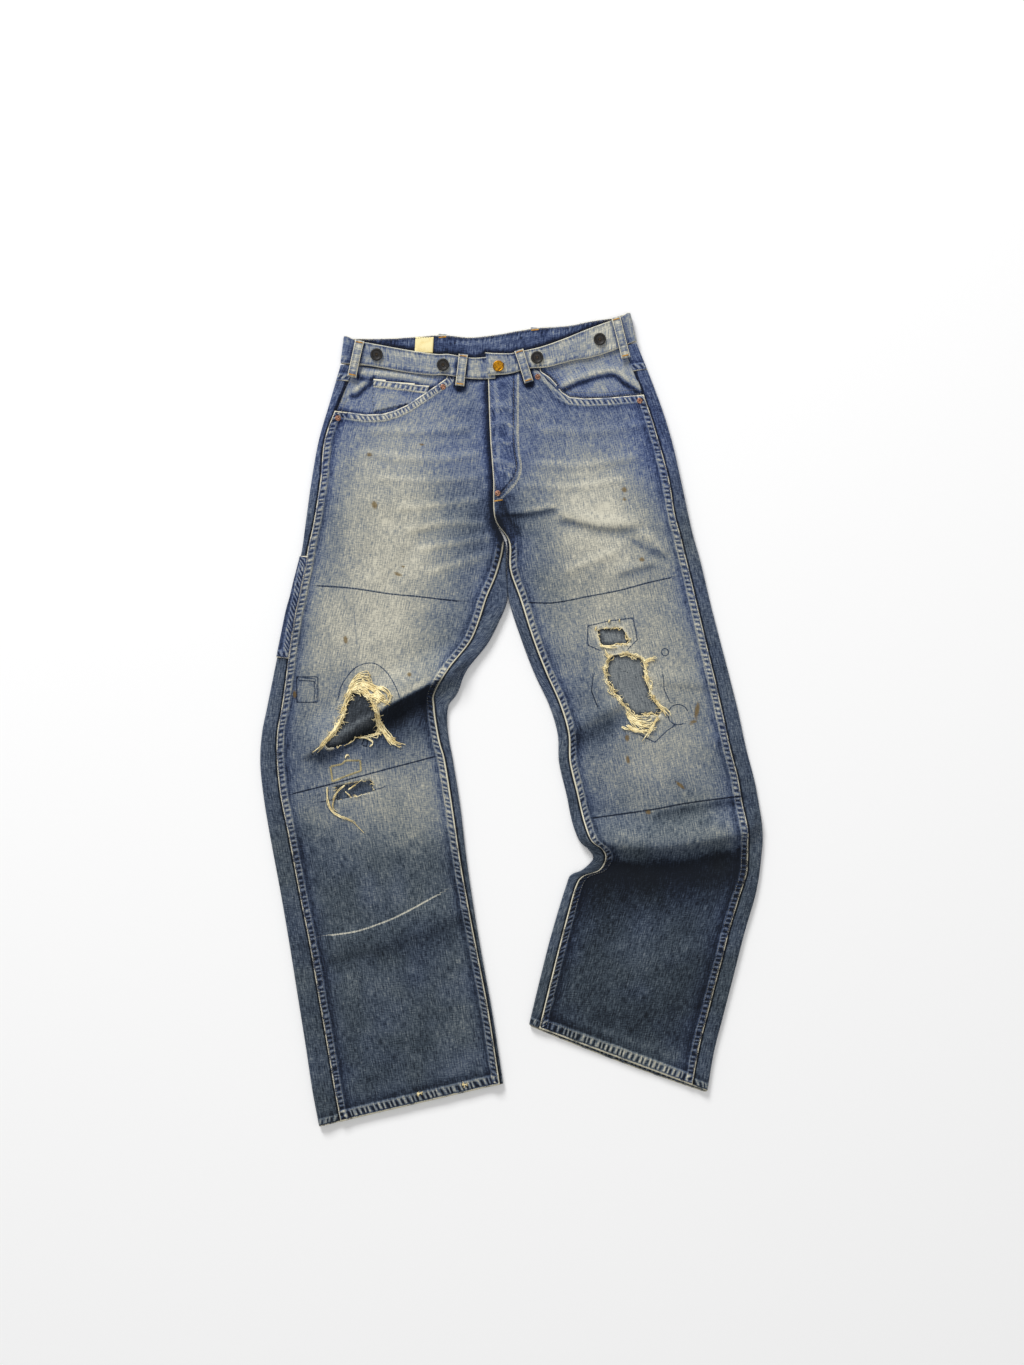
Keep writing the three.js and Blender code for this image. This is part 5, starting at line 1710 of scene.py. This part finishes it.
def sew_underside():
    """Plain double stitching on the pockets, yokes and hems that lie underneath."""
    hidden = Ground(pieces_named("back_", "yoke", "waistband"), below=True)
    tan = Thread("underside_topstitching", TAN_THREAD, hidden, "denim_back", -0.12)
    for side in ("right", "left"):
        # round the pocket from its top left corner, down and back up to its top right one
        spun = on_seat(side, np.array([BACK_POCKET[0], *BACK_POCKET[:0:-1]], float))
        middle = spun.mean(axis=0)
        for share in (0.96, 0.90):
            tan.line(middle + (spun - middle) * share, smooth_path=False)
        for share in (0.90, 0.80):
            tan.line(middle + (spun[[0, -1]] - middle) * [0.96, share], smooth_path=False)
        rows = Rows(side, [1.1])
        across = np.linspace(10, rows.width[0] - 6, 12)
        seam = np.stack(rows.at(across), -1)
        for drop in (0.0, 6.5):
            tan.line(seam - [0, drop + 4])
        tan.line(hem_line(side), smooth_path=False)
    tan.finish()


def hem_line(side):
    """The line of the hem's stitching across the front."""
    last = len(LEGS[side]) - 1.0
    rows = Rows(side, [last])
    d = np.linspace(4, rows.width[0] - 3, 40)
    up = stations(side, [last - 0.2])[0, :2] - stations(side, [last])[0, :2]
    up *= HEM_DEPTH / np.linalg.norm(up)
    return np.stack(rows.at(d), -1) + up


# ---- frays
class Frays:
    """Loose cotton threads, each a thin tube along a few points, joined as one piece."""

    SIDES = 5

    def __init__(self, name, ground, seed):
        self.name, self.ground = name, ground
        self.vertices, self.faces, self.count = [], [], 0
        self.random = np.random.default_rng(seed)

    def thread(self, path, radius=0.72, lift=0.8):
        """One thread over the cloth through points of x, y and height, thinner at its end."""
        path = curve_through(np.asarray(path, float), 3)
        points = []
        for p in path:
            spot = self.ground.at(p[0], p[1])
            z = spot[0] if spot else 3.0
            points.append((p[0], p[1], z + lift + (p[2] if len(p) > 2 else 0)))
        points = np.array(points)
        points[1:-1, 2] = np.maximum(points[1:-1, 2], (points[:-2, 2] + points[2:, 2]) / 2 - 0.4)
        run = np.gradient(points, axis=0)
        run /= np.maximum(np.linalg.norm(run, axis=1), 1e-9)[:, None]
        side = np.cross(run, [0.13, 0.21, 0.97])
        side /= np.linalg.norm(side, axis=1)[:, None]
        up = np.cross(side, run)
        taper = np.linspace(1, 0.55, len(points)) * radius
        n = self.SIDES
        base = self.count
        for k, (p, s, u) in enumerate(zip(points, side, up)):
            for j in range(n):
                a = 2 * math.pi * j / n
                self.vertices.append(p + (s * math.cos(a) + u * math.sin(a)) * taper[k])
        for k in range(len(points) - 1):
            for j in range(n):
                a, b = base + k * n + j, base + k * n + (j + 1) % n
                self.faces.append([a, b, b + n, a + n])
        self.faces.append([base + j for j in range(n)][::-1])
        self.faces.append([base + (len(points) - 1) * n + j for j in range(n)])
        self.count += len(points) * n

    def rim(self, outline, count, first=0.0, last=1.0, spread=1.6, length=(8, 24)):
        """Threads that lie along the torn edge, between two shares of its run."""
        p = np.array([*outline, outline[0]], float)
        run = path_run(p)
        for _ in range(count):
            start = self.random.uniform(first, last) * run[-1]
            reach = self.random.uniform(*length) * self.random.choice([-1, 1])
            at = spot_at(np.clip(start + np.linspace(0, reach, 4), 0, run[-1]), run, p)
            shift = self.random.normal(0, spread, 2)
            curl = self.random.normal(0, 1.5, (4, 2))
            height = np.abs(self.random.normal(0, 0.9)) + np.array([0, 0.5, 0.5, 0])
            self.thread(np.column_stack([at + shift + curl, height]))

    def bristles(self, outline, count, first=0.0, last=1.0, length=(3, 9)):
        """Short weft ends that stick out of the edge, mostly across the leg."""
        p = np.array([*outline, outline[0]], float)
        run = path_run(p)
        for _ in range(count):
            at = spot_at(self.random.uniform(first, last) * run[-1], run, p)
            reach = self.random.uniform(*length)
            a = self.random.choice([0, math.pi]) + self.random.normal(0, 0.55)
            bend = self.random.normal(0, 0.25) * reach
            out = np.array([reach * math.cos(a), reach * math.sin(a)])
            middle = at + 0.5 * out + [0, bend]
            self.thread([(*(at - 0.4 * out), 0.1), (*middle, 0.9), (*(at + out), 0.2)], 0.36)

    def tuft(self, path, count, spread, radius=0.78):
        """A bundle of threads along a path, spreading towards its end."""
        p = np.asarray(path, float) if len(path) > 9 else even_steps(curve_through(path), 4.0)[0]
        for _ in range(count):
            aside = self.random.normal(0, spread, 2)
            cut = max(2, int(len(p) * self.random.uniform(0.55, 1.0)))
            t = np.linspace(0.25, 1, cut)[:, None]
            wander = np.cumsum(self.random.normal(0, 0.35, (cut, 2)), axis=0)
            height = np.abs(self.random.normal(0, 0.8, (cut, 1))) + 0.3
            self.thread(np.hstack([p[:cut] + aside * t + wander, height]), radius)

    def finish(self):
        piece = mesh_object(self.name, np.array(self.vertices), self.faces)
        piece.data.materials.append(FRAY_THREAD)
        return finish_piece(piece, "denim_front")


# Bundles of loose threads: path, number of threads, spread
TUFTS = {
    "right": [
        ([(-226, 34), (-210, 50), (-194, 46), (-178, 35), (-162, 24)], 22, 4.2),
        ([(-220, 40), (-206, 47), (-194, 38), (-184, 27)], 15, 3.4),
        ([(-224, 44), (-212, 60), (-198, 62), (-194, 50), (-204, 44)], 8, 2.4),
        ([(-206, 58), (-198, 48), (-200, 36), (-194, 30)], 8, 2.0),
        ([(-198, 34), (-186, 34), (-174, 28), (-164, 30)], 9, 2.4),
        ([(-190, 42), (-177, 45), (-167, 36), (-169, 24), (-179, 21)], 8, 1.3),
        ([(-186, 22), (-178, 32), (-166, 32)], 6, 1.2),
        ([(-236, -4), (-252, -26), (-266, -40), (-282, -53)], 11, 1.8),
        ([(-232, 4), (-244, -18), (-258, -38)], 7, 1.5),
        ([(-181, -10), (-170, -24), (-158, -32), (-144, -35)], 10, 2.2),
        ([(-184, 6), (-178, -8), (-168, -26), (-158, -38), (-148, -40)], 7, 1.7),
        ([(-212, -24), (-200, -24), (-190, -30), (-198, -36)], 3, 1.0),
    ],
    "left": [
        ([(160, 6), (174, -2), (190, -4), (204, 4)], 12, 4.2),
        ([(158, -6), (172, -14), (188, -12), (206, -4)], 10, 3.4),
        ([(158, 12), (166, 2), (180, -10), (196, -16)], 10, 3.4),
        ([(202, 6), (194, -8), (186, -20), (176, -32)], 7, 0.9),
        ([(150, -8), (160, -12), (172, -8)], 4, 1.2),
        ([(198, 26), (206, 18), (216, 8), (214, -4)], 8, 2.4),
        ([(180, 80), (190, 84), (206, 90)], 5, 1.2), ([(182, 78), (192, 84), (204, 84)], 4, 1.2),
        ([(136, 84), (128, 94), (126, 100)], 8, 1.2),
        ([(132, 60), (127, 70), (128, 82)], 8, 1.3),
        ([(120, 103), (132, 101), (150, 101)], 6, 0.9),
        ([(133, 133), (135, 139)], 3, 0.5), ([(147, 134), (148, 142)], 3, 0.5),
        ([(114, 122), (117, 128)], 3, 0.5),
    ],
}
# Longer loops of thread hanging below the right knee
LONG_THREADS = [
    [(-253, -90), (-253, -100), (-251, -116), (-244, -127), (-231, -134), (-217, -140), (-212, -145),
     (-200, -157)],
    [(-228, -88), (-241, -101), (-245, -113), (-244, -122), (-236, -127)],
    [(-230, -97), (-218, -108)], [(-226, -96), (-212, -86), (-204, -80)],
    [(-229, -54), (-226, -46), (-221, -52)],
]


def tear(ground):
    """The frayed edges of the holes, and two worn spots on the right hem."""
    for side, seed in (("right", 11), ("left", 23)):
        frays = Frays(f"frayed_cotton_{side}", ground, seed)
        hole, small = HOLES[side]
        if side == "right":
            frays.rim(hole, 40, 0.0, 0.34)
            frays.rim(hole, 26, 0.74, 1.0, 1.1)
            frays.rim(hole, 4, 0.42, 0.58, 0.5, (8, 18))
            frays.bristles(hole, 60, 0.0, 0.38)
            frays.bristles(hole, 60, 0.70, 1.0, (4, 12))
            frays.bristles(small, 26, 0.0, 1.0, (2, 5))
            for path in LONG_THREADS:
                frays.tuft(path, 4, 0.45, 0.55)
                frays.thread(even_steps(curve_through(path), 4.0)[0], 0.75, 0.9)
        else:
            frays.rim(hole, 84, 0.0, 1.0, 1.1, (6, 16))
            frays.bristles(hole, 90, 0.0, 1.0, (3, 8))
            frays.rim(small, 12, 0.0, 1.0, 0.5, (6, 12))
            frays.bristles(small, 20, 0.0, 1.0, (2, 4))
        for path, count, spread in TUFTS[side]:
            frays.tuft(path, count, spread)
        frays.finish()
    hem = Frays("frayed_hems", ground, 37)
    for x, y in ((-126, -512), (-64, -500)):
        for _ in range(12):
            a = hem.random.normal(0.2, 0.5)
            hem.thread([(x - 4 * math.cos(a), y - 4 * math.sin(a) + hem.random.normal(0, 1), 0.1),
                        (x, y, 0.4), (x + 4 * math.cos(a), y + hem.random.normal(0, 1.4), 0.1)], 0.35)
    hem.finish()


# ---- buttons and rivets
def select_faces(piece, test):
    """In edit mode, selects only the faces whose centre and normal pass."""
    mesh = bmesh.from_edit_mesh(piece.data)
    for face in mesh.faces:
        face.select_set(bool(test(face.calc_center_median(), face.normal)))
    bmesh.update_edit_mesh(piece.data)


def round_form(radius, height, segments, steps, edge, edge_segments=3):
    """A disc whose top is inset and raised again and again, and whose edges are rounded.

    steps are pairs of inset and rise. All but the counts are in millimetres.
    """
    clear_selection()
    bpy.ops.mesh.primitive_cylinder_add(vertices=segments, radius=radius * MM, depth=height * MM,
                                        location=(0, 0, height * MM / 2))
    piece = bpy.context.active_object
    bpy.ops.object.transform_apply(location=True, rotation=False, scale=False)
    bpy.ops.object.mode_set(mode="EDIT")
    bpy.ops.mesh.select_mode(type="FACE")
    select_faces(piece, lambda centre, normal: normal.z > 0.9 and centre.z > height * MM * 0.9)
    for inset, rise in steps:
        bpy.ops.mesh.inset(thickness=inset * MM, depth=0)
        if rise:
            bpy.ops.transform.translate(value=(0, 0, rise * MM))
    bpy.ops.object.mode_set(mode="OBJECT")
    bevel = piece.modifiers.new("rounded", "BEVEL")
    bevel.width = edge * MM
    bevel.segments = edge_segments
    bevel.limit_method = "ANGLE"
    bevel.angle_limit = math.radians(35)
    bpy.ops.object.modifier_apply(modifier=bevel.name)
    return take_mesh()


def braces_button():
    """A turned resin button: broad rim and dished middle."""
    return round_form(8.5, 2.6, 40, [(0.5, 0.55), (1.9, 0.0), (0.5, -0.9), (2.4, -0.25)], 0.35)


def braces_tack():
    """The wire tack that shows in the middle of a braces button."""
    return round_form(2.3, 1.2, 12, [(0.5, 0.3), (0.7, -0.5)], 0.18, 2)


def waist_button():
    """A stamped brass shank button: plain domed face in a raised ring."""
    steps = [(0.45, 0.6), (0.9, 0.15), (0.5, -0.5), (1.6, 0.18), (1.9, 0.16)]
    return round_form(7.6, 2.0, 40, steps, 0.3)


def rivet():
    """A copper rivet: a flat washer with a burred nipple in the middle."""
    steps = [(0.5, 0.2), (1.5, -0.12), (0.35, 0.75), (0.4, 0.1), (0.35, -0.25)]
    return round_form(3.9, 0.6, 24, steps, 0.12, 2)


def place_form(name, form, centre, slope, material, slot, node=None, flip=False):
    """A copy of a form with its own mesh, standing on the cloth at its slope."""
    vertices, faces = form
    points = vertices / MM
    if flip:
        points = points * [1, -1, -1]
    points[:, 2] += points[:, :2] @ slope
    piece = mesh_object(name, points + centre, faces)
    piece.data.materials.append(material)
    clear_selection()
    piece.select_set(True)
    bpy.context.view_layer.objects.active = piece
    bpy.ops.object.shade_smooth_by_angle(angle=math.radians(38))
    return finish_piece(piece, slot, *([node] if node else []))


def box_of(node):
    """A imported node's lowest and highest corners and its middle, in millimetres."""
    low, high = (np.array(corner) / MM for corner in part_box(node))
    return low, high, (low + high) / 2


def hardware(ground):
    """The buttons and rivets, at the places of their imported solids."""
    button, tack = braces_button(), braces_tack()
    for where in ("outer_right", "inner_right", "inner_left", "outer_left", "back_right", "back_left"):
        low, high, (x, y, _) = box_of(f"braces_button_{where}")
        hidden = where.startswith("back")
        z = high[2] if hidden else low[2] - 0.25
        tilt = (0, 0) if hidden else (0.02 * math.sin(x), 0.02 * math.cos(y))
        place_form(f"button_{where}", button, (x, y, z), tilt, BUTTON_RESIN, "button_resin",
                   f"braces_button_{where}", hidden)
        face = low[2] + 1.5 if hidden else z + 1.4
        place_form(f"button_tack_{where}", tack, (x, y, face), tilt, TACK_METAL, "button_resin", None, hidden)
    low, _, (x, y, _) = box_of("waist_button")
    place_form("waist_button_brass", waist_button(), (x, y, low[2] - 0.2), (0.05, 0.03), AGED_BRASS,
               "aged_brass", "waist_button")
    form = rivet()
    for where in ("mouth_right", "side_right", "mouth_left", "side_left", "fly"):
        _, _, (x, y, _) = box_of(f"rivet_{where}")
        z, normal = ground.at(x, y)
        place_form(f"rivet_{where}_copper", form, (x, y, z - 0.05), -normal[:2] / normal[2], COPPER,
                   "copper_rivet", f"rivet_{where}")


ground = Ground(pieces_named("front_", "waistband", "belt_loop", "watch", "pocket_facing", "knee_patch",
                             "size"))
sew(ground)
sew_underside()
tear(ground)
hardware(ground)


# ---- floor, light and camera
FLOOR_REACH = 4000.0                     # mm from the middle to its edges
CAMERA_AT = (0.0007, 0.0522, 2.612)      # metres


def studio():
    """A pale floor, a soft key light from the waist, a fill overhead and the camera."""
    corners = [(x * FLOOR_REACH, y * FLOOR_REACH, 0) for x, y in ((-1, -1), (1, -1), (1, 1), (-1, 1))]
    floor = mesh_object("floor", corners, [(0, 1, 2, 3)], smooth_faces=False)
    material, _, _ = new_material("matt_white_sweep", Base_Color=linear("#f6f6f6"), Roughness=0.95,
                                  Specular_IOR_Level=0.1)
    floor.data.materials.append(material)

    def area(name, place, size, energy):
        light = bpy.data.lights.new(name, "AREA")
        light.shape = "SQUARE"
        light.size = size
        light.energy = energy
        lamp = bpy.data.objects.new(name, light)
        lamp.location = place
        lamp.rotation_euler = (-Vector(place)).to_track_quat("-Z", "Y").to_euler()
        bpy.context.scene.collection.objects.link(lamp)

    area("key_from_the_waist", (-2.2, 5.6, 3.3), 2.2, 460)
    area("soft_overhead", (0.4, -0.6, 4.0), 3.6, 44)
    world = bpy.data.worlds.new("studio_white")
    world.use_nodes = True
    background = world.node_tree.nodes["Background"].inputs
    background["Color"].default_value = (1, 1, 1, 1)
    background["Strength"].default_value = 0.38
    bpy.context.scene.world = world
    bpy.context.scene.view_settings.view_transform = "Standard"

    lens = bpy.data.cameras.new("overhead")
    lens.lens = 50
    lens.sensor_width = 36
    camera = bpy.data.objects.new("overhead", lens)
    camera.location = CAMERA_AT
    bpy.context.scene.collection.objects.link(camera)
    bpy.context.scene.camera = camera


studio()
